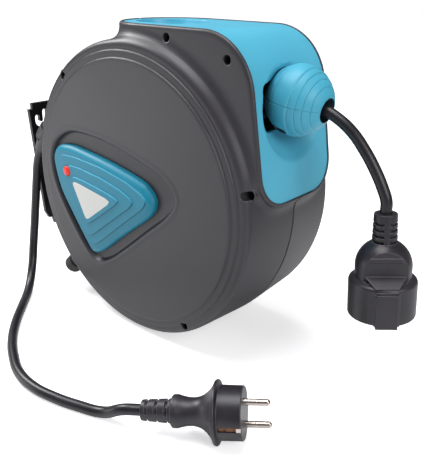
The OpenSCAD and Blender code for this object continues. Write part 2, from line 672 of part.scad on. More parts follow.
// Teeth that ramp up slowly and end in a steep face, which the pawl holds against the spring
function tooth_points(r, h, n) = [for (i = [0:n - 1], k = [0:5]) let (step = 360 / n, a = step * i,
    q = [[0, 0], [0.40, 0], [0.54, 0.45], [0.70, 0.95], [0.76, 1], [0.96, 1]][k])
    (r - h + h * q[1]) * [cos(a + step * q[0]), sin(a + step * q[0])]];
module ratchet_ring() color([0.75, 0.74, 0.70]) at_drum() difference() {
    translate([0, ratchet_y1 - clear / 2, 0]) rotate([90, 0, 0])
        linear_extrude(ratchet_y1 - clear / 2 - ratchet_y0)
        polygon(tooth_points(ratchet_r, tooth_h, ratchet_teeth));
    rod_y(2 * ratchet_bore_r, -60, 0);
    spool_screw_places() rod_y(3.4, -60, 0);
}
tooth_step = 360 / ratchet_teeth;
pawl_angle = tooth_step * ceil(59 / tooth_step) + 3.2;      // where the tip drops behind a tooth
pawl_pivot_r = ratchet_r + 14;
pawl_lag = 17;
pawl_lift = 18;                 // turn between the lifted and the engaged pawl
pawl_pivot = pawl_pivot_r * [cos(pawl_angle + pawl_lag), sin(pawl_angle + pawl_lag)];
pawl_engaged = (ratchet_r - tooth_h + 1) * [cos(pawl_angle), sin(pawl_angle)];
pawl_reach = norm(pawl_pivot - pawl_engaged);
pawl_dir = atan2(pawl_engaged[1] - pawl_pivot[1], pawl_engaged[0] - pawl_pivot[0]) + pawl_lift;
pawl_tip = pawl_pivot + pawl_reach * [cos(pawl_dir), sin(pawl_dir)];
pawl_side = [-sin(pawl_dir), cos(pawl_dir)];
pawl_y0 = ratchet_y0 + 0.5;
pawl_t = 5;
module pawl() color([0.85, 0.78, 0.55]) at_drum() difference() {
    union() {
        translate([pawl_pivot[0], 0, pawl_pivot[1]]) rod_y(12, pawl_y0, pawl_y0 + pawl_t);
        translate([0, pawl_y0 + pawl_t, 0]) rotate([90, 0, 0]) linear_extrude(pawl_t)
            polygon([pawl_pivot + 5.2 * pawl_side, pawl_tip + 1.3 * pawl_side,
                pawl_tip - 1.3 * pawl_side, pawl_pivot - 5.2 * pawl_side]);
    }
    translate([pawl_pivot[0], 0, pawl_pivot[1]]) rod_y(4 + 2 * run_fit, -60, 0);
}
module pawl_pin() color("silver") at_drum() translate([pawl_pivot[0], 0, pawl_pivot[1]]) {
    rod_y(4, -inner_face, pawl_y0 + pawl_t + 1.6);
    rod_y(7, -inner_face, pawl_y0 - 4.2);
}
module pawl_spring() color("silver") at_drum() translate([pawl_pivot[0], 0, pawl_pivot[1]])
    tube(coil_route(2.9, pawl_y0 - 3.6, pawl_y0 - 0.6, 3, 8), 0.7, 6);

// ---- spool ----
module spool_screw_places() {
    for (i = [0:3]) rotate([0, 90 * i + 45, 0]) translate([hub_r - 5, 0, 0]) children();
}
module spool_hub() color([0.10, 0.10, 0.11]) at_drum() difference() {
    union() {
        ring_y(hub_r, hub_r - 3, front_in, rear_in);
        ring_y(axle_d / 2 + 4, axle_d / 2 + run_fit, front_in, rear_in);
        for (i = [0:5]) rotate([0, 60 * i, 0]) translate([axle_d / 2 + 3.5, front_in + 1, -1.5])
            cube([hub_r - axle_d / 2 - 5, spool_w - 2, 3]);
        spool_screw_places() rod_y(9, front_in + 0.5, rear_in - 0.5);
    }
    spool_screw_places() rod_y(3.4, front_in - 1, rear_in + 1);
}
module flange(from, to) {
    difference() {
        ring_y(flange_r, axle_d / 2 + run_fit, from, to);
        spool_screw_places() rod_y(3.8, from - 1, to + 1);
        for (i = [0:7]) rotate([0, 45 * i + 22.5, 0]) translate([88, 0, 0]) rod_y(16, from - 1, to + 1);
    }
}
module front_flange() color([0.12, 0.12, 0.13]) at_drum() flange(front_in - flange_t, front_in);
module rear_flange() color([0.12, 0.12, 0.13]) at_drum() flange(rear_in, rear_in + flange_t);
module spool_screws() color("silver") at_drum() spool_screw_places() {
    rod_y(3.3, ratchet_y0 - 0.2, rear_in + flange_t - 0.2);
    rod_y(5.6, ratchet_y0 - 2, ratchet_y0);
}
// A cup that turns round the front boss
slip_core_r = slip_r - 2;
module slip_ring_core() color([0.55, 0.22, 0.12]) at_drum()
    turned([[axle_d / 2 + run_fit, ratchet_y1], [slip_core_r, ratchet_y1], [slip_core_r, slip_y0 - 0.3],
        [axle_boss_d / 2 + 1, slip_y0 - 0.3], [axle_boss_d / 2 + 1, 6 - well_inner],
        [axle_d / 2 + run_fit, 6 - well_inner]]);
module slip_rings() color([0.78, 0.57, 0.25]) at_drum() for (i = [0:2])
    ring_y(slip_r, slip_core_r + 0.05, slip_y0 + slip_pitch * i, slip_y0 + slip_pitch * i + slip_w);

// ---- spring motor ----
module spring_case() color([0.13, 0.13, 0.14]) at_drum() difference() {
    ring_y(spring_case_r, axle_d / 2 + run_fit, spring_y0, spring_y0 + spring_case_w - 1.6);
    ring_y(spring_case_r - 2.4, axle_d / 2 + 2, spring_y0 + 1.6, spring_y0 + spring_case_w);
}
module spring_case_cover() color([0.13, 0.13, 0.14]) at_drum()
    ring_y(spring_case_r, axle_boss_d / 2 + 1, spring_y0 + spring_case_w - 1.6, spring_y0 + spring_case_w);
spring_strip = 0.7;
spring_in = axle_d / 2 + 3.2;
spring_out = spring_case_r - 3.6;
function spiral(off) = [for (i = [0:spring_turns * 16]) let (a = 22.5 * i,
    r = spring_in + (spring_out - spring_in) * pow(i / (spring_turns * 16), 1.0) + off) [r * cos(a), r * sin(a)]];
function reversed(p) = [for (i = [len(p) - 1:-1:0]) p[i]];
module mainspring() color([0.35, 0.37, 0.42]) at_drum()
    translate([0, spring_y0 + spring_case_w - 1.9, 0]) rotate([90, 0, 0]) linear_extrude(spring_case_w - 3.8)
        polygon(concat(spiral(spring_strip / 2), reversed(spiral(-spring_strip / 2))));

// ---- cord on the drum ----
loop_pitch = cord_d + loop_gap;
rings_per_loop = 24;
core_r = wind_r * cos(180 / rings_per_loop) - cord_d / 2 - clear;   // clears the loops' flat sides
// The outer layer: from beside the rear flange to the middle, then straight off to the mouth
wound_start_y = outer_loops * loop_pitch;
wound_route = concat(
    [[-cord_d, wound_start_y, wind_r]],
    [for (i = [0:outer_loops * rings_per_loop]) let (t = i / rings_per_loop, a = 90 - 360 * t)
        [wind_r * cos(a), wound_start_y - loop_pitch * t, wind_r * sin(a)]],
    [[cord_d, 0, wind_r]]);
function least(v) = min(v);
// Least gap between points of the layer that lie more than half a loop apart
wound_gap = least([for (i = [0:len(wound_route) - 1], k = [i + 12:len(wound_route) - 1])
    if (k > i + 12) norm(wound_route[i] - wound_route[k])]) - cord_d;
echo(wound_cord_least_gap = wound_gap);
module cord_core() color(black) at_drum()
    ring_y(core_r, hub_r + fit, front_in + fit, rear_in - fit);
module wound_cord() color(black) at_drum() tube(wound_route, cord_d, 6);

// ---- the stretch through the rollers, the ball and the outgoing cord ----
pull_start = cord_d + 0.5;
ball_half = ball_d / 2;
module at_ball() { at_drum() translate([ball_x, 0, mouth_z]) rotate([0, ball_tilt, 0]) children(); }
function tilted(x) = [ball_x + x * cos(ball_tilt), 0, mouth_z - x * sin(ball_tilt)];
inner_end = -ball_half + 9;
inner_points = [[pull_start, 0, wind_r], [38, 0, wind_r], [66, 0, wind_r], [86, 0, wind_r],
    [98, 0, wind_r - 0.15], tilted(inner_end - 6), tilted(inner_end)];
module inner_cord() color(black) at_drum() tube(smooth_route(inner_points, 2), cord_d, 10);

ball_bands = [for (x = [-25.6, -19, -9, 6, 11, 15.5, 20, 24.2]) x * ball_half / 27];
ball_drops = [1, 0.5, 0, 1, 2, 3, 4];
function ball_curve(x) = sqrt(ball_half * ball_half - x * x);
function ball_profile() = concat([[0, ball_bands[0]]],
    [for (i = [0:len(ball_bands) - 2], k = [0:3]) let (x = ball_bands[i]
        + (ball_bands[i + 1] - ball_bands[i]) * k / 3)
        [ball_curve(x) - ball_drops[i] * ball_step * (i > 2 ? 0.45 : 1), x]],
    [[0, ball_bands[len(ball_bands) - 1]]]);
ball_screw_x = 6;
ball_screw_y = ball_half - 12;
module ball_half_form(s) {
    at_ball() difference() {
        intersection() {
            turned_x(ball_profile());
            translate([-ball_d, -ball_d, s > 0 ? 0.05 : -ball_d - 0.05]) cube([2 * ball_d, 2 * ball_d, ball_d]);
        }
        rod_x(cord_d + 2 * fit, -ball_d, ball_d);
        turned_x([[0, 10], [cord_d / 2 + fit, 10], [9, ball_half], [9, ball_half + 2], [0, ball_half + 2]]);
        for (y = [-1, 1]) translate([ball_screw_x - 12, y * ball_screw_y, 0]) {
            translate([0, 0, -ball_d]) cylinder(d = 3.2, h = ball_d + 11);
            translate([0, 0, -ball_d]) cylinder(d = 6.4, h = ball_d - 8);
        }
    }
}
module ball_upper() color(panel_blue) ball_half_form(1);
module ball_lower() color(panel_blue) ball_half_form(-1);
module ball_screws() color("silver") at_ball() for (y = [-1, 1])
    translate([ball_screw_x - 12, y * ball_screw_y, 0]) difference() {
        union() {
            translate([0, 0, -8 - eps]) cylinder(d = 3.1, h = 18);
            translate([0, 0, -10.6]) cylinder(d = 6, h = 2.6);
        }
        translate([0, 0, -11]) cylinder(d = 2.2, h = 1.6);
    }

// Route of the cord from the ball to the coupler, in the wall's frame
ball_at = [axis_x + ball_x, 0, axis_z + mouth_z];
coupler_at = ball_at + [79, 0, -79];
coupler_tilt = 4.5;
coupler_dir = [sin(coupler_tilt), 0, -cos(coupler_tilt)];
outgoing_points = concat([for (p = [[11, -2.1], [21, -3.9], [31, -8], [43, -16.5], [54, -28],
    [64, -42], [72, -55]]) ball_at + [p[0], 0, p[1]]],
    [for (d = [-18, -12, -6, 0]) coupler_at + d * coupler_dir]);
module outgoing_cord() color(black) tube(smooth_route(outgoing_points, 2), cord_d, 10);

// ---- coupler ----
relief_l = 29;
relief_rise = 10;               // how far the strain relief reaches up the cord
dome_l = 19;
coupler_face = relief_l + dome_l + collar_h - relief_rise;
socket_depth = 16;
module at_coupler() { translate(coupler_at) rotate([0, 180 - coupler_tilt, 0]) children(); }
module relief(d0, d1, l, rib) {
    difference() {
        cylinder(d1 = d0, d2 = d1, h = l);
        for (i = [0:3], s = [-1, 1]) translate([0, 0, 4 + i * rib + (s > 0 ? rib / 2 : 0)])
            difference() {
                translate([s > 0 ? 1.4 : -d1, -d1, 0]) cube([d1 - 1.4, 2 * d1, 2]);
                cylinder(d = d0 - 4, h = 3);
            }
    }
}
module coupler_body() color(black) at_coupler() {
    translate([0, 0, -relief_rise]) difference() {
        union() {
            relief(16.8, 18.6, relief_l, 5.4);
            translate([0, 0, relief_l - 3]) rotate_extrude() polygon(concat([[0, 0], [9, 0]],
                arc(4, dome_l + 3, 16.3, 72, 0, 8), [[0, dome_l + 3]]));
            translate([0, 0, relief_l + dome_l]) rotate_extrude() polygon([[0, -2], [coupler_d / 2 - 2.4, -2],
                [coupler_d / 2 - 0.6, -1.2], [coupler_d / 2, 0.6], [coupler_d / 2, collar_h], [0, collar_h]]);
            // Key rib with its ledge, and the lug over it, on the near side
            for (s = [-1]) translate([-8.2, s > 0 ? 0 : -coupler_d / 2 - 1.6, relief_l + dome_l + 3.5])
                cube([16.4, coupler_d / 2 + 1.6, collar_h - 2]);
            translate([-8, -coupler_d / 2 - 2.8, relief_l + dome_l + 2.4]) cube([16, coupler_d / 2, 2.6]);
            translate([0, -coupler_d / 2 + 1.6, relief_l + dome_l - 9]) rotate([0, 0, 0])
                linear_extrude(8.5) polygon([[-13, 8], [-8, 0], [8, 0], [13, 8]]);
        }
        translate([0, 0, -1]) cylinder(d = cord_d + 2 * fit, h = relief_rise + 1);
        translate([0, 0, coupler_face + relief_rise - socket_depth - 12]) cylinder(d = 40.4, h = 60);
    }
}
module coupler_insert() color([0.11, 0.11, 0.12]) at_coupler()
    translate([0, 0, coupler_face - socket_depth - 12 + fit]) difference() {
        union() {
            cylinder(d = 40.4 - 2 * fit, h = 12 - fit);
            difference() {
                cylinder(d = 40.4 - 2 * fit, h = 12 + socket_depth - 1.2);
                translate([0, 0, 8]) cylinder(d = 37.8, h = 40);
            }
        }
        for (s = [-1, 1]) translate([s * pin_pitch / 2, 0, 3]) cylinder(d = pin_d + 0.8, h = 30);
        for (s = [-1, 1]) translate([-3.4, s > 0 ? 17 : -22, 9]) cube([6.8, 5, 30]);
    }
module coupler_earth_clips() color([0.78, 0.77, 0.74]) at_coupler()
    translate([0, 0, coupler_face - socket_depth - 12 + fit]) for (s = [-1, 1]) mirror([0, s < 0 ? 1 : 0, 0])
        translate([-3.2, 0, 0]) rotate([90, 0, 90]) linear_extrude(6.4)
            polygon([[19.6, 9.2], [19.6, 23], [17.6, 21], [17.2, 15], [18.4, 9.2]]);

// ---- lead-in cord, its gland and its plug ----
gland_d = 17;
lead_y = -47;
lead_tilt = 50;                 // steepness of the gland, so that the lead clears the wall
lead_boss_d = gland_d + 3.6;
module lead_exit() { translate([-(shell_r - 9), lead_y, 35]) rotate([0, 180 - lead_tilt, 0]) children(); }
module lead_gland() color(black) at_drum() difference() {
    union() {
        lead_exit() turned_x([[0, -6], [gland_d / 2, -6], [gland_d / 2, 10.6], [gland_d / 2 - 0.6, 12],
            [6, 27], [0, 27]]);
        // The flange, cut to the round of the housing
        difference() {
            lead_exit() turned_x([[0, 9.2], [gland_d / 2 + 1.6, 9.2], [gland_d / 2 + 1.6, 11],
                [gland_d / 2 + 0.6, 12], [0, 12]]);
            rod_y(2 * (shell_r + clear), -half_w - 20, 0);
        }
    }
    lead_exit() rod_x(cord_d + 2 * fit, -8, 30);
}
// Route of the lead in the wall's frame: down behind the housing, then along the surface
lead_level = floor_z + cord_d / 2 + 0.05;
flange_d = 46;
plug_relief_l = 23;
plug_len = plug_relief_l + 35;  // from the relief's end to the flange's face
plug_yaw = 31;
plug_pitch = 6.5;
plug_at = [281, -148, floor_z + flange_d / 2 * cos(plug_pitch) - (plug_len - 2) * sin(plug_pitch)];
plug_dir = [cos(plug_yaw) * cos(plug_pitch), sin(plug_yaw) * cos(plug_pitch), sin(plug_pitch)];
module at_plug() { translate(plug_at) rotate([0, -plug_pitch, plug_yaw]) children(); }
lead_dir = [-cos(lead_tilt), 0, -sin(lead_tilt)];
lead_from = [axis_x - shell_r + 9, lead_y, axis_z + 35];
lead_points = [lead_from - 4 * lead_dir, lead_from + 12 * lead_dir, lead_from + 27 * lead_dir,
    [24, -47.5, 9], [21, -49, -10], [20, -52, -32], [20, -56, -56], [21, -61, -80], [25, -67, -98],
    [34, -77, -111], [46, -89, lead_level + 1], [64, -107, lead_level], [88, -130, lead_level],
    [112, -149, lead_level], [136, -163, lead_level], [160, -173, lead_level], [185, -176, lead_level],
    [208, -173, lead_level], [230, -167, lead_level], [251, -160, lead_level + 1.2],
    plug_at - 14 * plug_dir, plug_at, plug_at + 11 * plug_dir];
module lead_cord() color(black) tube(smooth_route(lead_points, 2), cord_d, 10);
module plug_body() color(black) at_plug() difference() {
    union() {
        rotate([0, 90, 0]) relief(15.6, 17.8, plug_relief_l + 2, 5);
        turned_x(concat([[0, plug_relief_l], [11.2, plug_relief_l], [11.9, plug_relief_l + 1.5],
            [11.9, plug_relief_l + 4]], [for (i = [0:10]) let (t = i / 10)
            [8.9 + 3 * pow(1 - t, 2) * (1 - t) + 11.6 * pow(t, 3), plug_relief_l + 6 + 24 * t]],
            [[flange_d / 2, plug_len - 4], [flange_d / 2, plug_len - 1.2], [flange_d / 2 - 1, plug_len],
            [insert_d / 2, plug_len], [insert_d / 2 - 0.3, plug_len + insert_l], [0, plug_len + insert_l]]));
    }
    rod_x(cord_d + 2 * fit, -1, 12);
    for (s = [-1, 1]) translate([plug_len + insert_l, 0, s * pin_pitch / 2]) rod_x(pin_d - 1 + 2 * fit, -8, 1);
    for (s = [-1, 1]) translate([plug_len + 0.4, s > 0 ? insert_d / 2 - 2 : -insert_d / 2 - 2, -4])
        cube([insert_l, 4, 8]);
}
module plug_pins() color("silver") at_plug() for (s = [-1, 1]) translate([plug_len + insert_l, 0, s * pin_pitch / 2])
    turned_x([[0, -7.8], [pin_d / 2 - 0.5, -7.8], [pin_d / 2 - 0.5, clear], [pin_d / 2, clear], [pin_d / 2, pin_l - 1.6], [pin_d / 2 - 0.9, pin_l - 0.4], [0, pin_l]]);
module plug_earth_strips() color([0.72, 0.60, 0.48]) at_plug() for (s = [-1, 1])
    translate([plug_len + 0.4 + fit, s > 0 ? insert_d / 2 - 2 + fit / 2 : -insert_d / 2 + 0.8, -3.8])
        cube([insert_l - 0.6, 1.2 - fit / 2, 7.6]);

wall_plate();
swivel_pin();
swivel_circlips();
swivel_yoke();
yoke_screws();
front_shell();
rear_shell();
shell_screws();
rubber_feet();
mouth_fascia();
roller_frame();
roller_pins();
upper_roller();
lower_roller();
near_roller();
far_roller();
badge_cover();
label_plate();
reset_button();
reset_spring();
thermal_cutout();
axle();
brush_holder();
carbon_brushes();
terminal_block();
pawl();
pawl_pin();
pawl_spring();
spool_hub();
front_flange();
rear_flange();
spool_screws();
ratchet_ring();
slip_ring_core();
slip_rings();
spring_case();
spring_case_cover();
mainspring();
cord_core();
wound_cord();
inner_cord();
ball_upper();
ball_lower();
ball_screws();
outgoing_cord();
coupler_body();
coupler_insert();
coupler_earth_clips();
lead_gland();
lead_cord();
plug_body();
plug_pins();
plug_earth_strips();
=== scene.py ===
import bpy
import bmesh
import json
from math import cos, pi, radians, sin, sqrt, tan
from mathutils import Matrix, Vector


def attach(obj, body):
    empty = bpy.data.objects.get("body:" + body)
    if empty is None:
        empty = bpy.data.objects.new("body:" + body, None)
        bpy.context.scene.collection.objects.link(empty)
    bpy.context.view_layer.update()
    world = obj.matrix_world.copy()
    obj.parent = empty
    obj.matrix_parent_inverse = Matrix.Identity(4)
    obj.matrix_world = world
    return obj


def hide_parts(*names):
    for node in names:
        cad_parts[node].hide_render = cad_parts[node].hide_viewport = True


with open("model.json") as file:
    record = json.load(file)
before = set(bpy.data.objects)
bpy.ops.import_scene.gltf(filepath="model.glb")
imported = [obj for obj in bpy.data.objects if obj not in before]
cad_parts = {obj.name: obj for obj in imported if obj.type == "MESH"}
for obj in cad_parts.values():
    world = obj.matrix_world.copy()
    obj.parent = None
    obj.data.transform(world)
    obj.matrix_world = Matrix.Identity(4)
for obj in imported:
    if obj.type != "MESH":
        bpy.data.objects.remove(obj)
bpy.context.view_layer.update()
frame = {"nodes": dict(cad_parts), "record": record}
mm = 0.001

# the reel's main places, in metres from the middle of the wall plate's back
reel = {
    "axis": Vector((0.172, 0.0, 0.010)),      # drum axis
    "floor": -0.122,                          # what the housing and the lead rest on
    "cord": 0.0087,                           # cord diameter
    "ball": Vector((0.303, 0.0, 0.101)),      # middle of the ball stop
    "ballTilt": radians(10),                  # how far its axis points down
}


# a point given in millimetres from the drum's middle
def drumPoint(x, y, z):
    return reel["axis"] + Vector((x, y, z)) * mm


def linked(obj):
    bpy.context.scene.collection.objects.link(obj)
    return obj


def meshObject(name, bm):
    mesh = bpy.data.meshes.new(name)
    bm.to_mesh(mesh)
    bm.free()
    return linked(bpy.data.objects.new(name, mesh))


# camera, light and floor

camera = {
    "place": (0.5526, -0.3893, 0.1854),
    "azimuth": 40.62,
    "pitch": 22.75,
    "roll": 0.73,
    "lens": 47.3,
}


def makeCamera(name):
    data = bpy.data.cameras.new(name)
    data.lens = camera["lens"]
    data.sensor_width = 36
    data.sensor_fit = "VERTICAL"
    data.sensor_height = 36
    data.clip_start = 0.01
    data.clip_end = 50
    a, p, r = (radians(camera[k]) for k in ("azimuth", "pitch", "roll"))
    back = Vector((sin(a) * cos(p), -cos(a) * cos(p), sin(p)))
    right = Vector((cos(a), sin(a), 0))
    up = back.cross(right)
    rolledRight = right * cos(r) + up * sin(r)
    rolledUp = up * cos(r) - right * sin(r)
    m = Matrix((rolledRight, rolledUp, back)).transposed().to_4x4()
    m.translation = camera["place"]
    obj = linked(bpy.data.objects.new(name, data))
    obj.matrix_world = m
    bpy.context.scene.camera = obj


makeCamera("viewCamera")
print("camera set")

lamps = {
    "top": {"place": (0.1, -0.2, 1.5), "aim": (0.17, 0, 0), "size": 1.1, "power": 22},
    "left": {"place": (-0.42, -0.55, -0.02), "aim": (0.12, 0, -0.02), "size": 0.4, "power": 1.0},
    "right": {"place": (1.5, -0.35, 0.75), "aim": (0.2, 0, 0), "size": 0.9, "power": 12},
    "back": {"place": (-0.75, -0.25, 0.85), "aim": (0.12, 0, 0.05), "size": 0.5, "power": 14},
}


def makeLamp(name, place, aim, size, power):
    data = bpy.data.lights.new(name, "AREA")
    data.shape = "DISK"
    data.size = size
    data.energy = power
    turn = (Vector(aim) - Vector(place)).to_track_quat("-Z", "Y")
    lampObject = linked(bpy.data.objects.new(name, data))
    lampObject.matrix_world = Matrix.Translation(place) @ turn.to_matrix().to_4x4()


for lampName, lamp in lamps.items():
    makeLamp("lamp_" + lampName, **lamp)


# shader helpers

class Wire:
    def __init__(self, paint, socket):
        self.paint = paint
        self.socket = socket

    def math(self, operation, *others):
        return self.paint.node("ShaderNodeMath", {"operation": operation}, dict(enumerate((self, *others))))

    def __add__(self, other):
        return self.math("ADD", other)

    __radd__ = __add__

    def __mul__(self, other):
        return self.math("MULTIPLY", other)

    __rmul__ = __mul__

    def __sub__(self, other):
        return self.math("SUBTRACT", other)

    def __rsub__(self, other):
        return self.paint.node("ShaderNodeMath", {"operation": "SUBTRACT"}, {0: other, 1: self})


class Paint:
    def __init__(self, name, look):
        self.material = bpy.data.materials.new(name)
        self.material.use_nodes = True
        self.tree = self.material.node_tree
        self.shader = self.tree.nodes["Principled BSDF"]
        for socketName, value in look.items():
            self.shader.inputs[socketName].default_value = value
        self.material.diffuse_color = look.get("Base Color", (0.5, 0.5, 0.5, 1))

    def node(self, kind, settings=None, inputs=None, output=0):
        node = self.tree.nodes.new(kind)
        for key, value in (settings or {}).items():
            setattr(node, key, value)
        for key, value in (inputs or {}).items():
            if isinstance(value, Wire):
                self.tree.links.new(value.socket, node.inputs[key])
            else:
                node.inputs[key].default_value = value
        return Wire(self, node.outputs[output])

    def feed(self, socketName, wire):
        self.tree.links.new(wire.socket, self.shader.inputs[socketName])

    def place(self):
        return self.node("ShaderNodeTexCoord", output="Object")

    def noise(self, scale, detail=3, roughness=0.5):
        return self.node("ShaderNodeTexNoise", None,
                         {"Vector": self.place(), "Scale": scale, "Detail": detail, "Roughness": roughness})

    def blend(self, factor, first, second):
        return self.node("ShaderNodeMix", {"data_type": "RGBA"}, {0: factor, 6: first, 7: second}, output=2)

    def bump(self, height, strength, distance, radius=0.0):
        inputs = {"Height": height, "Strength": strength, "Distance": distance}
        if radius:
            inputs["Normal"] = self.node("ShaderNodeBevel", {"samples": 6}, {"Radius": radius})
        self.feed("Normal", self.node("ShaderNodeBump", None, inputs))

    # how far the surface bends within the radius, and how far it looks up
    def edges(self, radius):
        softened = self.node("ShaderNodeBevel", {"samples": 6}, {"Radius": radius})
        flat = self.node("ShaderNodeNewGeometry", output="True Normal")
        level = self.node("ShaderNodeVectorMath", {"operation": "DOT_PRODUCT"},
                          {0: softened, 1: flat}, "Value")
        up = self.node("ShaderNodeSeparateXYZ", None, {0: softened}, 2)
        return 1.0 - level, self.ramp(up, -0.25, 0.35)

    def ramp(self, value, low, high):
        return self.node("ShaderNodeMapRange", None, {0: value, 1: low, 2: high, 3: 0.0, 4: 1.0})


def rgb(text):
    values = [int(text[i:i + 2], 16) / 255 for i in (1, 3, 5)]
    return (*[v / 12.92 if v <= 0.04045 else ((v + 0.055) / 1.055) ** 2.4 for v in values], 1)


def toned(colour, gain, lift=0.0):
    return (*[min(c * gain + lift, 1) for c in colour[:3]], 1)


# materials; grain is in noise cells per metre, depth and edge are in metres; some finishes paint highlights
# on up-facing edges and shade on down-facing edges

def mouldedPlastic(name, colour, grain=900.0, depth=0.00006, rough=0.5, edge=0.0008, tint=0.06, specular=0.4,
                   edgeLight=0.0):
    colour = rgb(colour)
    paint = Paint(name, {"Base Color": colour, "Roughness": rough, "Specular IOR Level": specular})
    fine = paint.noise(grain, 2, 0.6)
    broad = paint.noise(11.0, 3, 0.55)
    mottle = paint.ramp(broad * 0.75 + fine * 0.25, 0.35, 0.65)
    shade = paint.blend(mottle, toned(colour, 1 - tint), toned(colour, 1 + tint, 0.002))
    # painted highlight on edges that face up and painted shade on edges that face down, mixed into the base
    # colour where the surface bends
    if edgeLight:
        bend, up = paint.edges(0.0014)
        wearAndEdgeLight = paint.blend(up, toned(colour, 0.35), toned(colour, 2.2, 0.05))
        shade = paint.blend(paint.ramp(bend, 0.015, 0.2) * edgeLight, shade, wearAndEdgeLight)
    paint.feed("Base Color", shade)
    paint.feed("Roughness", paint.ramp(broad, 0.2, 0.8) * 0.08 + fine * 0.08 + (rough - 0.08))
    paint.bump(fine, 0.55, depth, edge)
    return paint.material


# what is darkened on the ball: painted shadow inside the screws' oval pockets, and the inside of the cord's
# recess; in metres in its own frame
ballDark = {
    "recess": 0.0091, "recessFrom": 0.0075,            # radius of the cord's recess and where it starts
    "pocket": 0.0030, "pocketHalf": 0.003,             # radius and half length of a screw's oval pocket
    "pocketX": -0.002, "pocketY": 0.0165, "pocketZ": -0.006,
}


def ballPlastic(name, colour):
    colour = rgb(colour)
    paint = Paint(name, {"Base Color": colour, "Roughness": 0.44, "Specular IOR Level": 0.4})
    fine = paint.noise(1100.0, 2, 0.6)
    broad = paint.noise(14.0, 3, 0.5)
    shade = paint.blend(paint.ramp(broad, 0.35, 0.65), toned(colour, 0.94), colour)
    # painted highlight on up-facing edges and painted shade on down-facing edges of the ball's bands
    bend, up = paint.edges(0.0007)
    wearAndEdgeLight = paint.blend(up, toned(colour, 0.45), toned(colour, 1.5, 0.04))
    shade = paint.blend(paint.ramp(bend, 0.02, 0.25) * 0.8, shade, wearAndEdgeLight)
    own = paint.node("ShaderNodeMapping", {"vector_type": "TEXTURE"}, {
        "Vector": paint.place(), "Location": reel["ball"], "Rotation": (0, reel["ballTilt"], 0)})
    split = paint.node("ShaderNodeSeparateXYZ", None, {0: own}).socket.node
    x, y, z = (Wire(paint, split.outputs[k]) for k in range(3))
    around = paint.ramp((y * y + z * z).math("SQRT"), ballDark["recess"] + 0.00025, ballDark["recess"])
    recess = around * paint.ramp(x, ballDark["recessFrom"], ballDark["recessFrom"] + 0.001)
    # painted shadow inside the screws' oval pockets, below the ball's middle
    along = ((x - ballDark["pocketX"]).math("ABSOLUTE") - ballDark["pocketHalf"]).math("MAXIMUM", 0.0)
    beside = y.math("ABSOLUTE") - ballDark["pocketY"]
    off = (along * along + beside * beside).math("SQRT")
    pocket = paint.ramp(off, ballDark["pocket"] + 0.0002, ballDark["pocket"])
    below = paint.ramp(z, ballDark["pocketZ"], ballDark["pocketZ"] - 0.001)
    darkRecessAndPocketShadow = (pocket * below).math("MAXIMUM", recess)
    paint.feed("Base Color", paint.blend(darkRecessAndPocketShadow, shade, rgb("#1b3038")))
    paint.feed("Roughness", fine * 0.10 + 0.39)
    paint.bump(fine, 0.5, 0.00005, 0.0004)
    return paint.material


def stripMetal(name):
    paint = Paint(name, {"Base Color": rgb("#5d4438"), "Metallic": 1.0, "Roughness": 0.42})
    wearAndEdgeLight = paint.noise(260.0, 3, 0.6)
    paint.feed("Base Color", paint.blend(paint.ramp(wearAndEdgeLight, 0.4, 0.7), rgb("#4a352c"), rgb("#7a5a45")))
    paint.feed("Roughness", wearAndEdgeLight * 0.2 + 0.32)
    paint.bump(wearAndEdgeLight, 0.3, 0.00003, 0.0002)
    return paint.material


def platedMetal(name, colour, rough):
    colour = rgb(colour)
    paint = Paint(name, {"Base Color": colour, "Metallic": 1.0, "Roughness": rough})
    stretched = paint.node("ShaderNodeMapping", None, {"Vector": paint.place(), "Scale": (1, 1, 14)})
    scratches = paint.node("ShaderNodeTexNoise", None, {"Vector": stretched, "Scale": 420.0, "Detail": 3.0})
    cloud = paint.noise(60.0, 2)
    paint.feed("Base Color", paint.blend(paint.ramp(cloud, 0.35, 0.7), toned(colour, 0.8), colour))
    paint.feed("Roughness", scratches * 0.18 + (rough - 0.06))
    paint.bump(scratches, 0.25, 0.00003, 0.0003)
    return paint.material


def rubberSheath(name, colour, rough=0.42, edge=0.0006, edgeLight=0.0):
    colour = rgb(colour)
    paint = Paint(name, {"Base Color": colour, "Roughness": rough, "Specular IOR Level": 0.45})
    fine = paint.noise(900.0, 3, 0.6)
    broad = paint.noise(28.0, 3, 0.5)
    shade = paint.blend(paint.ramp(broad, 0.45, 0.75), colour, toned(colour, 1.7, 0.004))
    # painted highlight along up-facing edges, lightening the base colour where the surface bends and faces
    # up
    if edgeLight:
        bend, up = paint.edges(0.0010)
        shade = paint.blend(paint.ramp(bend, 0.01, 0.2) * up * edgeLight, shade, toned(colour, 5.0, 0.06))
    paint.feed("Base Color", shade)
    paint.feed("Roughness", fine * 0.12 + broad * 0.10 + (rough - 0.10))
    paint.bump(fine, 0.4, 0.00004, edge)
    return paint.material


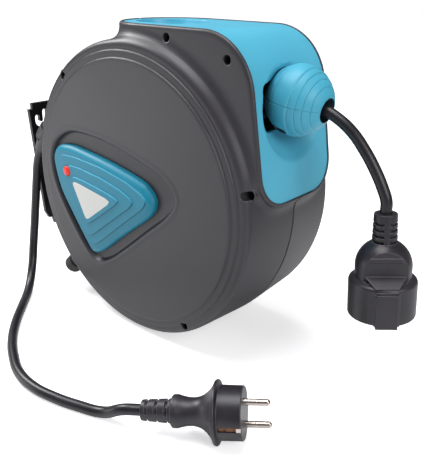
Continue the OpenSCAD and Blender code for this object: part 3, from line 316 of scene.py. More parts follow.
finishes = {
    "housing_grey": mouldedPlastic("housingGrey", "#302e33", grain=1500.0, rough=0.42, edge=0.0016,
                                   specular=0.45, edgeLight=1.0),
    "fascia_blue": mouldedPlastic("fasciaBlue", "#4aa6c2", grain=1100.0, depth=0.00005, rough=0.42,
                                  edge=0.0010, specular=0.5),
    "ball_blue": ballPlastic("ballBlue", "#43a0bb"),
    "badge_blue": mouldedPlastic("badgeBlue", "#187a94", grain=1300.0, depth=0.00004, rough=0.40,
                                 edge=0.0005, specular=0.3, edgeLight=0.7),
    "label_grey": mouldedPlastic("labelGrey", "#c9cac7", grain=700.0, depth=0.00002, rough=0.38,
                                 edge=0.0002, tint=0.02),
    "button_red": mouldedPlastic("buttonRed", "#e2281c", depth=0.00002, rough=0.28, edge=0.0006, tint=0.03),
    "bracket_black": mouldedPlastic("bracketBlack", "#121214", grain=700.0, depth=0.00010, rough=0.42,
                                    edge=0.0006, tint=0.2),
    "steel": platedMetal("zincSteel", "#b9babc", 0.32),
    "cord_black": rubberSheath("cordSheath", "#17151b", rough=0.36, edge=0.0),
    "plug_black": rubberSheath("plugRubber", "#1f1c22", rough=0.38, edge=0.0007, edgeLight=0.9),
    "insert_black": mouldedPlastic("insertBlack", "#26232a", rough=0.36, edge=0.0005, tint=0.15),
    "pin_nickel": platedMetal("pinNickel", "#c9bdb6", 0.24),
    "earth_copper": platedMetal("earthCopper", "#c39f7c", 0.30),
    "strip_brown": stripMetal("stripBrown"),
    "roller_nylon": mouldedPlastic("rollerNylon", "#8f857a", grain=800.0, rough=0.45),
    "inner_black": mouldedPlastic("innerBlack", "#2a2a2c", tint=0.15),
    "ring_brass": platedMetal("ringBrass", "#c79a4f", 0.28),
    "carbon": mouldedPlastic("pressedCarbon", "#2f2f30", grain=1600.0, rough=0.6, edge=0.0002, tint=0.2),
    "spring_steel": platedMetal("springSteel", "#7b7f8b", 0.30),
    "core_red": mouldedPlastic("coreRed", "#8c4a38"),
    "ceramic": mouldedPlastic("creamBlock", "#ded8c6", rough=0.45, tint=0.03),
    "acetal": mouldedPlastic("naturalAcetal", "#d9c79c", rough=0.4, tint=0.03),
    "foot_rubber": rubberSheath("footRubber", "#1c1c1e", rough=0.55),
}
slotOf = {part["node"]: part["material_slot"] for part in frame["record"]["subparts"]}
for nodeName, nodeObject in frame["nodes"].items():
    nodeObject.data.materials.clear()
    nodeObject.data.materials.append(finishes[slotOf[nodeName]])
print("materials made:", len(finishes))

# floor and backdrop

floorLook = {
    "size": 9.0, "colour": (0.86, 0.86, 0.87, 1), "rough": 0.28,
    "near": (0.58, 0.58, 0.585, 1),    # glow added beside the reel; it is white past the fade
    "fade": (0.5, 1.3),
}
worldLook = {"onObject": 0.17, "seen": 1.0}


def makeFloor(name):
    bm = bmesh.new()
    bmesh.ops.create_grid(bm, x_segments=2, y_segments=2, size=floorLook["size"] / 2)
    bmesh.ops.translate(bm, verts=bm.verts, vec=(0, 0, reel["floor"]))
    obj = meshObject(name, bm)
    paint = Paint("paleFloor", {"Base Color": floorLook["colour"], "Roughness": floorLook["rough"],
                                "Specular IOR Level": 0.25, "Emission Strength": 1.0})
    seen = paint.node("ShaderNodeLightPath", output="Is Camera Ray")
    away = paint.node("ShaderNodeVectorMath", {"operation": "LENGTH"}, {0: paint.place()}, "Value")
    glow = paint.blend(paint.ramp(away, *floorLook["fade"]), floorLook["near"], (1, 1, 1, 1))
    paint.feed("Emission Color", paint.blend(seen, (0, 0, 0, 1), glow))
    obj.data.materials.append(paint.material)


makeFloor("studioFloor")


def makeWorld():
    world = bpy.data.worlds.new("softStudio")
    bpy.context.scene.world = world
    world.use_nodes = True
    tree = world.node_tree
    background = tree.nodes["Background"]
    path = tree.nodes.new("ShaderNodeLightPath")
    mix = tree.nodes.new("ShaderNodeMix")
    mix.inputs[2].default_value = worldLook["onObject"]
    mix.inputs[3].default_value = worldLook["seen"]
    tree.links.new(path.outputs["Is Camera Ray"], mix.inputs[0])
    tree.links.new(mix.outputs[0], background.inputs["Strength"])
    background.inputs["Color"].default_value = (1, 1, 1, 1)


makeWorld()
bpy.context.scene.view_settings.view_transform = "Standard"
print("floor and light made")


# mesh helpers, all in millimetres in a piece's own frame

def placed(origin, xAxis, zAxis):
    x, z = Vector(xAxis).normalized(), Vector(zAxis).normalized()
    place = Matrix((x, z.cross(x), z)).transposed().to_4x4()
    place.translation = Vector(origin) * mm
    return place @ Matrix.Scale(mm, 4)


def skinRings(bm, rings):
    made = [[bm.verts.new(p) for p in ring] for ring in rings]
    for low, high in zip(made, made[1:]):
        for k in range(len(low)):
            n = (k + 1) % len(low)
            bm.faces.new((low[k], low[n], high[n], high[k]))
    return made


# turns a closed outline, of radius and place, about the X axis
def latheForm(profile, segments=96, start=0.0, sweep=360.0):
    bm = bmesh.new()
    outline = bm.faces.new([bm.verts.new((x, r, 0)) for r, x in profile])
    bmesh.ops.rotate(bm, verts=bm.verts, matrix=Matrix.Rotation(radians(start), 3, "X"))
    whole = sweep > 359.9
    if whole:
        bmesh.ops.delete(bm, geom=[outline], context="FACES_ONLY")
    bmesh.ops.spin(bm, geom=bm.verts[:] + bm.edges[:] + bm.faces[:], axis=(1, 0, 0), cent=(0, 0, 0),
                   angle=radians(sweep), steps=segments, use_merge=whole)
    bmesh.ops.remove_doubles(bm, verts=bm.verts, dist=0.001)
    bmesh.ops.recalc_face_normals(bm, faces=bm.faces)
    return bm


def sectorForm(x0, x1, r0, r1, start, stop):
    return latheForm([(r0, x0), (r1, x0), (r1, x1), (r0, x1)], 14, start, stop - start)


def rodForm(start, end, radius, segments=40):
    bm = bmesh.new()
    start, end = Vector(start), Vector(end)
    bmesh.ops.create_cone(bm, cap_ends=True, segments=segments, radius1=radius, radius2=radius,
                          depth=(end - start).length)
    turn = (end - start).to_track_quat("Z", "Y").to_matrix().to_4x4()
    bmesh.ops.transform(bm, matrix=Matrix.Translation((start + end) / 2) @ turn, verts=bm.verts)
    return bm


def blockForm(low, high, rounding=0.0):
    bm = bmesh.new()
    low, high = Vector(low), Vector(high)
    bmesh.ops.create_cube(bm, size=1)
    bmesh.ops.scale(bm, verts=bm.verts, vec=high - low)
    bmesh.ops.translate(bm, verts=bm.verts, vec=(low + high) / 2)
    if rounding:
        bmesh.ops.bevel(bm, geom=bm.edges[:], offset=rounding, segments=3, profile=0.5, affect="EDGES",
                        material=-1)
    return bm


# a closed form through rings with the same number of points
def loftForm(rings):
    bm = bmesh.new()
    made = skinRings(bm, rings)
    bm.faces.new(made[0])
    bm.faces.new(reversed(made[-1]))
    bmesh.ops.recalc_face_normals(bm, faces=bm.faces)
    return bm


def prismForm(outline, reach):
    bm = bmesh.new()
    face = bm.faces.new([bm.verts.new(p) for p in outline])
    far = bmesh.ops.extrude_face_region(bm, geom=[face])["geom"]
    bmesh.ops.translate(bm, verts=[item for item in far if isinstance(item, bmesh.types.BMVert)], vec=reach)
    bmesh.ops.recalc_face_normals(bm, faces=bm.faces)
    return bm


def gathered(forms):
    whole = bmesh.new()
    for form in forms:
        mesh = bpy.data.meshes.new("gathered")
        form.to_mesh(mesh)
        form.free()
        whole.from_mesh(mesh)
        bpy.data.meshes.remove(mesh)
    return whole


# gives the form a wall, if asked, and then adds or cuts each step's form in turn
def carved(bm, steps, wall=0.0):
    obj = meshObject("work", bm)
    helpers = [obj]
    if wall:
        solidify = obj.modifiers.new("wall", "SOLIDIFY")
        solidify.thickness = wall
        solidify.offset = -1
    for operation, form in steps:
        helpers.append(meshObject("tool", form))
        boolean = obj.modifiers.new("carve", "BOOLEAN")
        boolean.operation = operation
        boolean.object = helpers[-1]
        boolean.solver = "EXACT"
    bpy.context.view_layer.update()
    result = bmesh.new()
    result.from_mesh(obj.evaluated_get(bpy.context.evaluated_depsgraph_get()).to_mesh())
    for item in helpers:
        mesh = item.data
        bpy.data.objects.remove(item)
        bpy.data.meshes.remove(mesh)
    return result


def finishPiece(name, bm, place, finish, body, replaced, sharp=32.0):
    bmesh.ops.remove_doubles(bm, verts=bm.verts, dist=0.003)
    bmesh.ops.dissolve_degenerate(bm, edges=bm.edges, dist=0.001)
    for face in bm.faces:
        face.smooth = True
    for edge in bm.edges:
        edge.smooth = edge.calc_face_angle(0.0) < radians(sharp)
    bmesh.ops.transform(bm, matrix=place, verts=bm.verts)
    obj = meshObject(name, bm)
    obj.data.materials.append(finishes[finish])
    weights = obj.modifiers.new("evenShading", "WEIGHTED_NORMAL")
    weights.keep_sharp = True
    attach(obj, body)
    if replaced:
        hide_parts(*replaced)
    return obj


# loops of points in a plane

def smoothLoop(points, steps):
    out = []
    n = len(points)
    for i in range(n):
        a, b, c, d = (Vector(points[(i + k) % n]) for k in (-1, 0, 1, 2))
        for k in range(steps):
            t = k / steps
            out.append(0.5 * (2 * b + (c - a) * t + (2 * a - 5 * b + 4 * c - d) * t * t
                              + (3 * b - 3 * c + d - a) * t ** 3))
    return out


def roundedLoop(points, radius):
    out = []
    for i, point in enumerate(points):
        b = Vector(point)
        ends = []
        for other in (points[i - 1], points[(i + 1) % len(points)]):
            way = Vector(other) - b
            ends.append(b + way.normalized() * min(radius, way.length * 0.48))
        for t in (0.0, 0.2, 0.4, 0.6, 0.8, 1.0):
            out.append(ends[0] * (1 - t) ** 2 + b * 2 * t * (1 - t) + ends[1] * t * t)
    return out


def grown(loop, distance):
    out = []
    for i, point in enumerate(loop):
        along = (loop[(i + 1) % len(loop)] - loop[i - 1]).normalized()
        out.append(point + Vector((-along.y, along.x)) * distance)
    return out


# how far the loop lies from the middle in a direction
def rayHit(loop, direction):
    best = 0.0
    for i, a in enumerate(loop):
        edge = loop[(i + 1) % len(loop)] - a
        cross = direction.x * edge.y - direction.y * edge.x
        if abs(cross) < 1e-9:
            continue
        far = (a.x * edge.y - a.y * edge.x) / cross
        share = (a.x * direction.y - a.y * direction.x) / cross
        if far > best and -1e-6 <= share <= 1 + 1e-6:
            best = far
    return best


drumFrame = placed((172, 0, 10), (1, 0, 0), (0, 0, 1))

# housing shells: a drum with a block blended into it; all points are in the drum's frame

housing = {
    "radius": 132.0, "rimFall": 3.0,   # at the seam, and how much less it is at the rim
    "land": 56.8, "shoulder": 5.0,     # half width of the drum's wall and radius of its rim
    "halfBlock": 48.5, "top": 141.0, "corner": 48.0, "edge": 2.6,
    "front": 125.0, "mouth": 91.0, "lean": radians(9),     # the block's front, at the mouth's level
    "nose": 6.0,                       # where the block's plan starts to turn round
    "lipLow": 13.5, "lipCorner": 28.0, "lip": 3.2,         # the lip beside the fascia
    "hollow": 10.0,                    # softness of the hollow between the block and the drum
    "channel": 3.6,                    # depth of the channel that holds the fascia
    "seam": (1.1, 0.45),               # half width and depth of the strip along the seam
    "ledges": ((121.7, 56.8), (121.2, 57.0), (120.8, 58.1), (120.3, 58.4), (115.8, 58.4), (115.2, 58.6),
               (114.8, 59.7), (114.3, 60.0), (112.0, 60.0)),    # radius and place of the face's two ledges
    "face": 60.0,
    "behindFace": ((20, 51.5), (100, 51.5), (120.5, 51.5), (125.6, 46.0)), "behindWall": (128.4, 129.4),
    # shares of the way at which rows of points stand, over the lip, down the cheek and along the wall
    "lipRows": (0.0, 0.3, 0.55, 0.78, 0.95),
    "cheekRows": (0.03, 0.08, 0.15, 0.24, 0.35, 0.47, 0.6, 0.72, 0.83, 0.92, 0.98),
    "wallRows": (0.0, 0.15, 0.3, 0.45, 0.6, 0.75, 0.88),
    # place of each screw, how far its post reaches, and how long its oval is
    "screws": ((40.5, 132.5, 47.4, 0), (100, 121.5, 47.4, 0), (125, 28, 50.0, 1.2), (-80.7, 92.8, 55.6, 0),
               (65.2, -104.3, 55.6, 0)),
    "post": 5.4, "postFrom": 21.0, "bore": 3.5, "boreFrom": 24.0, "boreTo": 66.0,
    "footAngle": radians(-136), "footY": 40.0, "footReach": (127.0, 143.0), "footRadius": 8.0,
    "leadExit": (-123.0, -47.0, 35.0), "leadTilt": radians(50), "leadBoss": 10.3, "leadBore": 8.6,
    # degrees round the drum and how close the columns of points stand from there on
    "spacing": ((-2, 0.5), (4.5, 0.25), (7, 0.5), (20, 1.2), (103, 0.25), (111, 1.0), (128, 3.0)),
}
tanLean = tan(housing["lean"])
cornerZ = housing["top"] - housing["corner"]
cornerX = housing["front"] - tanLean * (cornerZ - housing["mouth"])
cornerX -= housing["corner"] / cos(housing["lean"])


# distances from the surface: the drum, the block, and the two blended with a soft hollow

def roundedMax(a, b, r):
    return min(max(a, b), -r) + sqrt(max(a + r, 0) ** 2 + max(b + r, 0) ** 2)


def drumDistance(x, y, z):
    wall = sqrt(x * x + z * z) - (housing["radius"] - housing["rimFall"] * y / housing["land"])
    return roundedMax(wall, y - housing["land"], housing["shoulder"])


def outlineDistance(x, z):
    overX, overZ = x - cornerX, z - cornerZ
    if overX > 0 and overZ > overX * tanLean:
        return sqrt(overX ** 2 + overZ ** 2) - housing["corner"]
    lean = housing["lean"]
    return max(z - housing["top"], (x - housing["front"]) * cos(lean) + (z - housing["mouth"]) * sin(lean))


def blockDistance(x, y, z):
    nose = housing["nose"]
    plan = (sqrt((x - nose) ** 2 + y * y) if x < nose else y) - housing["halfBlock"]
    side = roundedMax(plan, housing["lipLow"] - z, housing["lipCorner"])
    return roundedMax(outlineDistance(x, z), side, housing["edge"])


def housingDistance(x, y, z):
    drum, block = drumDistance(x, y, z), blockDistance(x, y, z)
    depth = min(max(-outlineDistance(x, z) / 6, 0), 1)
    soft = housing["hollow"] * depth * depth * (3 - 2 * depth) + 0.01
    mix = max(soft - abs(drum - block), 0) / soft
    return min(drum, block) - mix * mix * soft / 4


# the nearest point of the surface, on this half of the housing
def settled(x, y, z):
    p = Vector((x, max(y, 0.0), z))
    for _ in range(8):
        d = housingDistance(*p)
        if abs(d) < 0.004:
            break
        slope = Vector((housingDistance(p.x + 0.04, p.y, p.z) - d, housingDistance(p.x, p.y + 0.04, p.z) - d,
                        housingDistance(p.x, p.y, p.z + 0.04) - d)) / 0.04
        if p.y < 0.01:
            slope.y = 0
        p -= slope * (d / max(slope.length_squared, 0.1)) * 0.9
        p.y = max(p.y, 0.0)
    return p


# how far the block reaches out in a direction
def blockReach(angle):
    c, s = cos(angle), sin(angle)
    low, high = 100.0, 200.0
    if s <= 0 or outlineDistance(low * c, low * s) > 0:
        return 0.0
    for _ in range(26):
        middle = (low + high) / 2
        if outlineDistance(middle * c, middle * s) > 0:
            high = middle
        else:
            low = middle
    if c < 0:
        low = min(low, (housing["halfBlock"] - housing["nose"]) / -c)
    return low


# half the block's width at a place
def cheekAt(x, z, inset=0.0):
    half, corner = housing["halfBlock"] - inset, housing["lipCorner"] - inset
    low = housing["lipLow"] + inset
    if z <= low:
        return 0.0
    if x < housing["nose"]:
        half = sqrt(max(half * half - (housing["nose"] - x) ** 2, 0))
    if z < low + corner:
        half = min(half, housing["halfBlock"] - inset - corner + sqrt(corner ** 2 - (low + corner - z) ** 2))
    return half


def housingAngles():
    angles, degrees = [], housing["spacing"][0][0]
    while degrees < 358 - 0.01:
        angles.append(radians(degrees))
        degrees += [step for start, step in housing["spacing"] if degrees >= start][-1]
    return angles


def seamLead(p, c, s):
    half, depth = housing["seam"]
    return [Vector((p.x - c * k, y, p.z - s * k)) for y, k in ((0, 1.1), (0.12, depth), (half, depth))]


# the closed ring of points in one plane through the drum's axis, inside and outside
def housingColumn(angle):
    c, s = cos(angle), sin(angle)
    radius = housing["radius"]
    touched = -0.05 < angle < radians(126)

    def onWall(y):
        if touched:
            return settled(radius * c, y, radius * s)
        r = radius - housing["rimFall"] * y / housing["land"]
        return Vector((r * c, y, r * s))

    reach = blockReach(angle)
    wide = cheekAt(reach * c, reach * s) if reach > radius + 1.6 else 0.0
    inner = cheekAt(reach * c, reach * s, housing["lip"]) if wide else 0.0
    if wide > 3:
        base = radius + 1.0
        foot = max(cheekAt(base * c, base * s), wide)
        brow = [settled(reach * c, inner + (wide - inner) * t, reach * s) for t in housing["lipRows"]]
        if inner > 0.05:
            edge = brow[0]
            brow[0] = edge + Vector((0, 0.3, 0))
            lead = [Vector((edge.x - c * k, edge.y + y, edge.z - s * k))
                    for k, y in ((housing["channel"], 0), (1.6, 0), (0.35, 0.02))]
        else:
            lead = seamLead(brow[0], c, s)
            brow[0] = settled(reach * c, housing["seam"][0] + 0.1, reach * s)
        side = []
        for t in housing["cheekRows"]:
            r = reach + (base - reach) * t
            side.append(settled(r * c, wide + (foot - wide) * t, r * s))
        column = lead + brow + side
        foot += 1.0
    else:
        # below the block the seam's side has evenly spaced rows, up to a foot that widens round the drum
        foot = 20.5 if touched and angle < 1 else 4 + 16.5 * max(angle - 1.9, 0) / 4.3
        column = seamLead(onWall(0.0), c, s)
        first = housing["seam"][0] + 0.1
        column += [onWall(first + (foot - first) * k / 16) for k in range(16)]
    top = housing["land"] - housing["shoulder"]
    column += [onWall(foot + (top - foot) * t) for t in housing["wallRows"]]
    rim = radius - housing["rimFall"] + 0.25 - housing["shoulder"]
    for k in range(7):
        a = radians(15 * k)
        r, y = rim + housing["shoulder"] * cos(a), top + housing["shoulder"] * sin(a)
        column.append(settled(r * c, y, r * s) if touched and k < 6 else Vector((r * c, y, r * s)))
    column += [Vector((r * c, y, r * s)) for r, y in housing["ledges"]]
    # the inside, from the middle of the face back to the seam or to the lip
    inside = list(housing["behindFace"])
    rimWall, seamWall = housing["behindWall"]
    if wide > 3 and inner > 0.05:
        inside += [(rimWall, min(foot - 5, 43.0)), (seamWall, inner),
                   (reach - housing["channel"] - 0.1, inner)]
    else:
        inside += [(rimWall, min(foot, 30) * 0.8), (seamWall - 0.4, 1.0), (seamWall, 0.0)]
    return [Vector((r * c, y, r * s)) for r, y in inside] + column


# the well round the badge, and how far each ring of its side grows from its outline at each level

well = {
    "loop": [(-106, 12), (-100, 30), (-84, 43), (-62, 48.5), (-17, 45), (31, 33.3), (48, 26.8), (58.5, 17),
             (60, 6), (49, -9.5), (22, -32), (-4.6, -54.2), (-24, -69), (-38, -76), (-51, -75.5), (-64, -65),
             (-85, -39), (-101, -12)],
    "side": ((4.3, 60.0), (2.6, 60.1), (1.2, 60.4), (-0.2, 60.5), (-1.4, 60.2), (-2.2, 59.4), (-2.9, 57.6),
             (-3.6, 56.1), (-4.6, 55.25), (-6.0, 55.0), (-11.0, 55.0)),
}
wellLoop = smoothLoop(well["loop"], 6)
angles = housingAngles()
columns = [housingColumn(a) for a in angles]
print("housing columns:", len(columns))


def ovalForm(x, z, oval, radius, start, end):
    ring = []
    for k in range(40):
        a = 2 * pi * (k + 0.5) / 40
        ring.append((x + (oval if cos(a) > 0 else 0) + radius * cos(a), start, z + radius * sin(a)))
    return prismForm(ring, (0, end - start, 0))


def makeShell(name, side, node):
    rings = [[Vector((p.x, side * p.y, p.z)) for p in ring] for ring in zip(*columns)]
    if side < 0:
        for growth, y in well["side"]:
            loop = grown(wellLoop, growth)
            reaches = [rayHit(loop, Vector((cos(a), sin(a)))) for a in angles]
            rings.append([Vector((far * cos(a), -y, far * sin(a))) for a, far in zip(angles, reaches)])
    else:
        face = housing["face"]
        rings.append([Vector((face * cos(a), face, face * sin(a))) for a in angles])
    bm = bmesh.new()
    made = skinRings(bm, rings)
    bm.faces.new(made[0])
    bm.faces.new(made[-1])
    bmesh.ops.recalc_face_normals(bm, faces=bm.faces)
    posts, bores = [], []
    postFrom, boreFrom, boreTo = (side * housing[k] for k in ("postFrom", "boreFrom", "boreTo"))
    for x, z, end, oval in housing["screws"]:
        posts.append(ovalForm(x, z, 0, housing["post"], postFrom, side * end))
        bores.append(ovalForm(x, z, oval, housing["bore"], boreFrom, boreTo))
    foot = Vector((cos(housing["footAngle"]), 0, sin(housing["footAngle"])))
    beside = Vector((0, side * housing["footY"], 0))
    near, far = housing["footReach"]
    posts.append(rodForm(foot * near + beside, foot * far + beside, housing["footRadius"], 48))
    if side < 0:
        gland = Vector(housing["leadExit"])
        way = Vector((-cos(housing["leadTilt"]), 0, -sin(housing["leadTilt"])))
        posts.append(rodForm(gland - way * 3, gland + way * 8.6, housing["leadBoss"], 48))
        bores.append(rodForm(gland - way * 8, gland + way * 12, housing["leadBore"], 48))
    shell = carved(bm, [("UNION", gathered(posts)), ("DIFFERENCE", gathered(bores))])
    finishPiece(name, shell, drumFrame, "housing_grey", "housing", [node])


makeShell("near_shell_form", -1, "front_shell")
makeShell("far_shell_form", 1, "rear_shell")
print("housing shells made")

# fascia: a strip that follows the block's outline, dished round the mouth and hollowed for the grip

fascia = {
    "half": 45.15, "low": 16.85, "corner": 24.8,           # half width, low end and its corners
    "drop": 0.8, "wall": 2.4,                              # how far below the block it lies, and its wall
    "counts": (58, 34, 52), "rows": 80,                    # faces along top, corner and front, and across
    "dishRadius": 57.0, "dishDepth": 13.8, "dishSoft": 1.2, "dishDrop": 8.0,
    "socketRadius": 27.4, "socketX": 131.0, "socketRim": ((113.2, 0, 64.0), (1, 0, -0.056)),
    "gripX": 1.0, "gripRadius": 26.4, "gripReach": 15.0, "gripDepth": 21.0,
    "gripRim": ((0, 0, 139.2), (0, 0, 1)),                 # a rim is a point and the normal of its plane
    "mouth": (71.0, 38.0, 6.0, 17.0, 87.0),                # width, height, upper and lower corner, middle
    "mouthReach": (88.0, 140.0),
}


def fasciaLine(y):
    half, drop, lean = fascia["half"], fascia["drop"], housing["lean"]
    over = abs(y) - half + fascia["corner"]
    rise = fascia["corner"] - sqrt(max(fascia["corner"] ** 2 - over ** 2, 0)) if over > 0 else 0
    start = housing["nose"] - sqrt(max(half * half - y * y, 0))
    line = []
    top, turn, front = fascia["counts"]
    for k in range(top):
        x = start + (cornerX - start) * k / top
        line.append((Vector((x, y, housing["top"] - drop)), Vector((0, 0, 1))))
    for k in range(turn):
        a = pi / 2 + (lean - pi / 2) * k / turn
        normal = Vector((cos(a), 0, sin(a)))
        line.append((Vector((cornerX, y, cornerZ)) + normal * (housing["corner"] - drop), normal))
    normal = Vector((cos(lean), 0, sin(lean)))
    high = line[-1][0].z - 1.5
    low = fascia["low"] + rise
    for k in range(front + 1):
        z = high + (low - high) * k / front
        x = housing["front"] - tanLean * (z - housing["mouth"]) - drop / cos(lean)
        line.append((Vector((x, y, z)), normal))
    return line


# sinks a point of the fascia into the dish, along the fascia's own normal
def dished(point, normal):
    lean = housing["lean"]
    middle = Vector((housing["front"], 0, housing["mouth"] - fascia["dishDrop"]))
    middle += Vector((cos(lean), 0, sin(lean))) * (fascia["dishRadius"] - fascia["dishDepth"])
    offset = point - middle
    along = offset.dot(normal)
    inside = along * along - offset.length_squared + fascia["dishRadius"] ** 2
    depth = along + sqrt(inside) if inside > 0 else -99
    soft = fascia["dishSoft"]
    if depth < -soft:
        return point
    return point - normal * (depth if depth > soft else (depth + soft) ** 2 / (4 * soft))


def capsuleForm(radius):
    reach, x = fascia["gripReach"] / 2, fascia["gripX"]
    z = housing["top"] - fascia["drop"] - fascia["gripDepth"] + fascia["gripRadius"]
    profile = [(radius * sin(radians(5 * k)), x - reach - radius * cos(radians(5 * k))) for k in range(19)]
    profile += [(radius * cos(radians(5 * k)), x + reach + radius * sin(radians(5 * k))) for k in range(19)]
    bm = latheForm(profile, 64)
    bmesh.ops.translate(bm, verts=bm.verts, vec=(0, 0, z))
    return bm


def sphereForm(radius):
    bm = bmesh.new()
    bmesh.ops.create_uvsphere(bm, u_segments=96, v_segments=60, radius=radius)
    bmesh.ops.rotate(bm, verts=bm.verts, matrix=Matrix.Rotation(radians(90), 3, "Y"))
    bmesh.ops.translate(bm, verts=bm.verts, vec=(fascia["socketX"], 0, housing["mouth"]))
    return bm


def trimmed(bm, place, normal):
    cut = bmesh.ops.bisect_plane(bm, geom=bm.verts[:] + bm.edges[:] + bm.faces[:], plane_co=place,
                                 plane_no=normal, clear_outer=True)
    rim = [item for item in cut["geom_cut"] if isinstance(item, bmesh.types.BMEdge)]
    bmesh.ops.holes_fill(bm, edges=rim)


def roundedPrism(width, height, upper, lower, middle, start, end):
    ring = []
    for k, (sy, sz) in enumerate(((1, 1), (-1, 1), (-1, -1), (1, -1))):
        corner = upper if sz > 0 else lower
        for step in range(9):
            a = radians(90 * k + 90 * step / 8)
            y = sy * (width / 2 - corner) + corner * cos(a)
            ring.append((start, y, middle + sz * (height / 2 - corner) + corner * sin(a)))
    return prismForm(ring, (end - start, 0, 0))


def makeFascia():
    points = []
    for k in range(fascia["rows"] + 1):
        y = fascia["half"] * sin(radians(-90 + 180 * k / fascia["rows"]))
        points += [dished(point, normal) for point, normal in fasciaLine(y)]
    bm = bmesh.new()
    bmesh.ops.create_grid(bm, x_segments=sum(fascia["counts"]), y_segments=fascia["rows"], size=1)
    for vert, point in zip(bm.verts, points):
        vert.co = point
    bmesh.ops.recalc_face_normals(bm, faces=bm.faces)
    if sum(face.normal.z for face in bm.faces) < 0:
        bmesh.ops.reverse_faces(bm, faces=bm.faces)
    gripLining = capsuleForm(fascia["gripRadius"] + fascia["wall"])
    trimmed(gripLining, *fascia["gripRim"])
    socketLining = sphereForm(fascia["socketRadius"] + fascia["wall"])
    trimmed(socketLining, *fascia["socketRim"])
    bm = carved(bm, [("UNION", gripLining), ("DIFFERENCE", capsuleForm(fascia["gripRadius"])),
                     ("UNION", socketLining), ("DIFFERENCE", sphereForm(fascia["socketRadius"])),
                     ("DIFFERENCE", roundedPrism(*fascia["mouth"], *fascia["mouthReach"]))], fascia["wall"])
    finishPiece("fascia_form", bm, drumFrame, "fascia_blue", "housing", ["mouth_fascia"])


makeFascia()
print("fascia made")

# badge: a bevelled plate with three terraces, its label and the button

badge = {
    "loop": [(-99.5, 11), (-97.5, 22.5), (-89.5, 29.5), (-77, 31.4), (-62.5, 30.6), (-21.7, 25.1),
             (15.9, 17.3), (28, 11.2), (34.3, 2.5), (31.5, -8.2), (20, -19.2), (-8, -40.3), (-31.4, -59.2),
             (-43, -66.8), (-50.5, -67.2), (-59, -58.5), (-77, -35.5), (-92, -14)],
    # how far each ring of the side grows from the loop, and its level
    "side": ((0, 54.9), (0, 57.3), (-0.2, 58.4), (-0.7, 59.6), (-1.5, 60.7), (-2.6, 61.7), (-3.7, 62.4),
             (-4.6, 62.8), (-5.2, 63.0)),
    "terraces": (
        [(-86.5, 18), (-82.5, 22), (-62, 22.8), (-27.8, 20.2), (4.3, 14.2), (24, 7.2), (28.2, 2.6),
         (25, -4.2), (-5.1, -27.9), (-37.5, -53.8), (-45, -58), (-50.5, -56), (-62.7, -40.7), (-80.4, -12)],
        [(-78.2, 9.8), (-74, 13.8), (-58, 14.2), (-27.6, 11), (-1.7, 5.5), (11, 0.4), (12.8, -3),
         (8.5, -7.7), (-17.4, -27.2), (-42.9, -46.5), (-50, -49.5), (-55.4, -46), (-67.4, -26.5),
         (-75.7, -8.7)],
        [(-69, 1.4), (-65.5, 4.6), (-52, 3.9), (-27.5, 0.7), (-7.8, -3), (-4.6, -5.2), (-9.5, -9.7),
         (-29.8, -24.5), (-45, -35.4), (-51.5, -37.8), (-54.5, -34.2), (-62.4, -20.1)]),
    "label": [(-66.5, -1.8), (-64, 0.3), (-57, -0.2), (-41.5, -2.5), (-20.5, -5.6), (-15.5, -7.6),
              (-18.5, -11.2), (-33.6, -22.1), (-45.9, -31.1), (-49.6, -32.6), (-51.8, -30), (-58.9, -16.3)],
    "face": 63.0, "terrace": 1.0, "round": 0.3,
    "bore": (56.5, 70.0), "boreGap": 0.35,
    "button": (-75.0, 8.0), "buttonRadius": 4.7, "buttonFace": 66.5, "stemRadius": 1.5, "stemEnd": 29.0,
}


def uprightRing(loop, y):
    return [(p.x, -y, p.y) for p in loop]


def plateRings(loop, low, high, rounding):
    corner = [(0.0, low), (0.0, high - rounding)]
    for a in (radians(30), radians(60), radians(90)):
        corner.append((-rounding * (1 - cos(a)), high - rounding * (1 - sin(a))))
    return [uprightRing(grown(loop, growth), y) for growth, y in corner]


def makeBadge():
    outer = smoothLoop(badge["loop"], 8)
    forms = [loftForm([uprightRing(grown(outer, growth), y) for growth, y in badge["side"]])]
    for k, points in enumerate(badge["terraces"]):
        loop = roundedLoop(points, 4.0)
        high = badge["face"] + badge["terrace"] * (k + 1)
        forms.append(loftForm(plateRings(loop, badge["face"] - 1, high, badge["round"])))
    x, z = badge["button"]
    low, high = badge["bore"]
    bored = [carved(form, [("DIFFERENCE", rodForm((x, -low, z), (x, -high, z),
                                                  badge["buttonRadius"] + badge["boreGap"], 48))])
             for form in forms]
    finishPiece("badge_form", gathered(bored), drumFrame, "badge_blue", "housing", ["badge_cover"], 24)
    loop = roundedLoop(badge["label"], 2.2)
    top = badge["face"] + 3 * badge["terrace"]
    plate = loftForm(plateRings(loop, top - 0.3, top + 0.12, 0.1))
    finishPiece("label_form", plate, drumFrame, "label_grey", "housing", ["label_plate"], 40)


makeBadge()


def makeButton():
    radius, face, stem = badge["buttonRadius"], badge["buttonFace"], badge["stemRadius"]
    profile = [(0, face + 0.35), (1.6, face + 0.28), (3.0, face + 0.02), (3.9, face - 0.45),
               (4.45, face - 1.1),
               (radius, face - 1.9), (radius, face - 3.6), (stem, face - 3.6), (stem, badge["stemEnd"]),
               (0, badge["stemEnd"])]
    bm = latheForm(profile, 48)
    bmesh.ops.rotate(bm, verts=bm.verts, matrix=Matrix.Rotation(radians(-90), 3, "Z"))
    x, z = badge["button"]
    bmesh.ops.translate(bm, verts=bm.verts, vec=(x, 0, z))
    finishPiece("button_form", bm, drumFrame, "button_red", "button", ["reset_button"], 50)


makeButton()
print("badge and button made")

# ball stop: two banded halves clamped on the cord

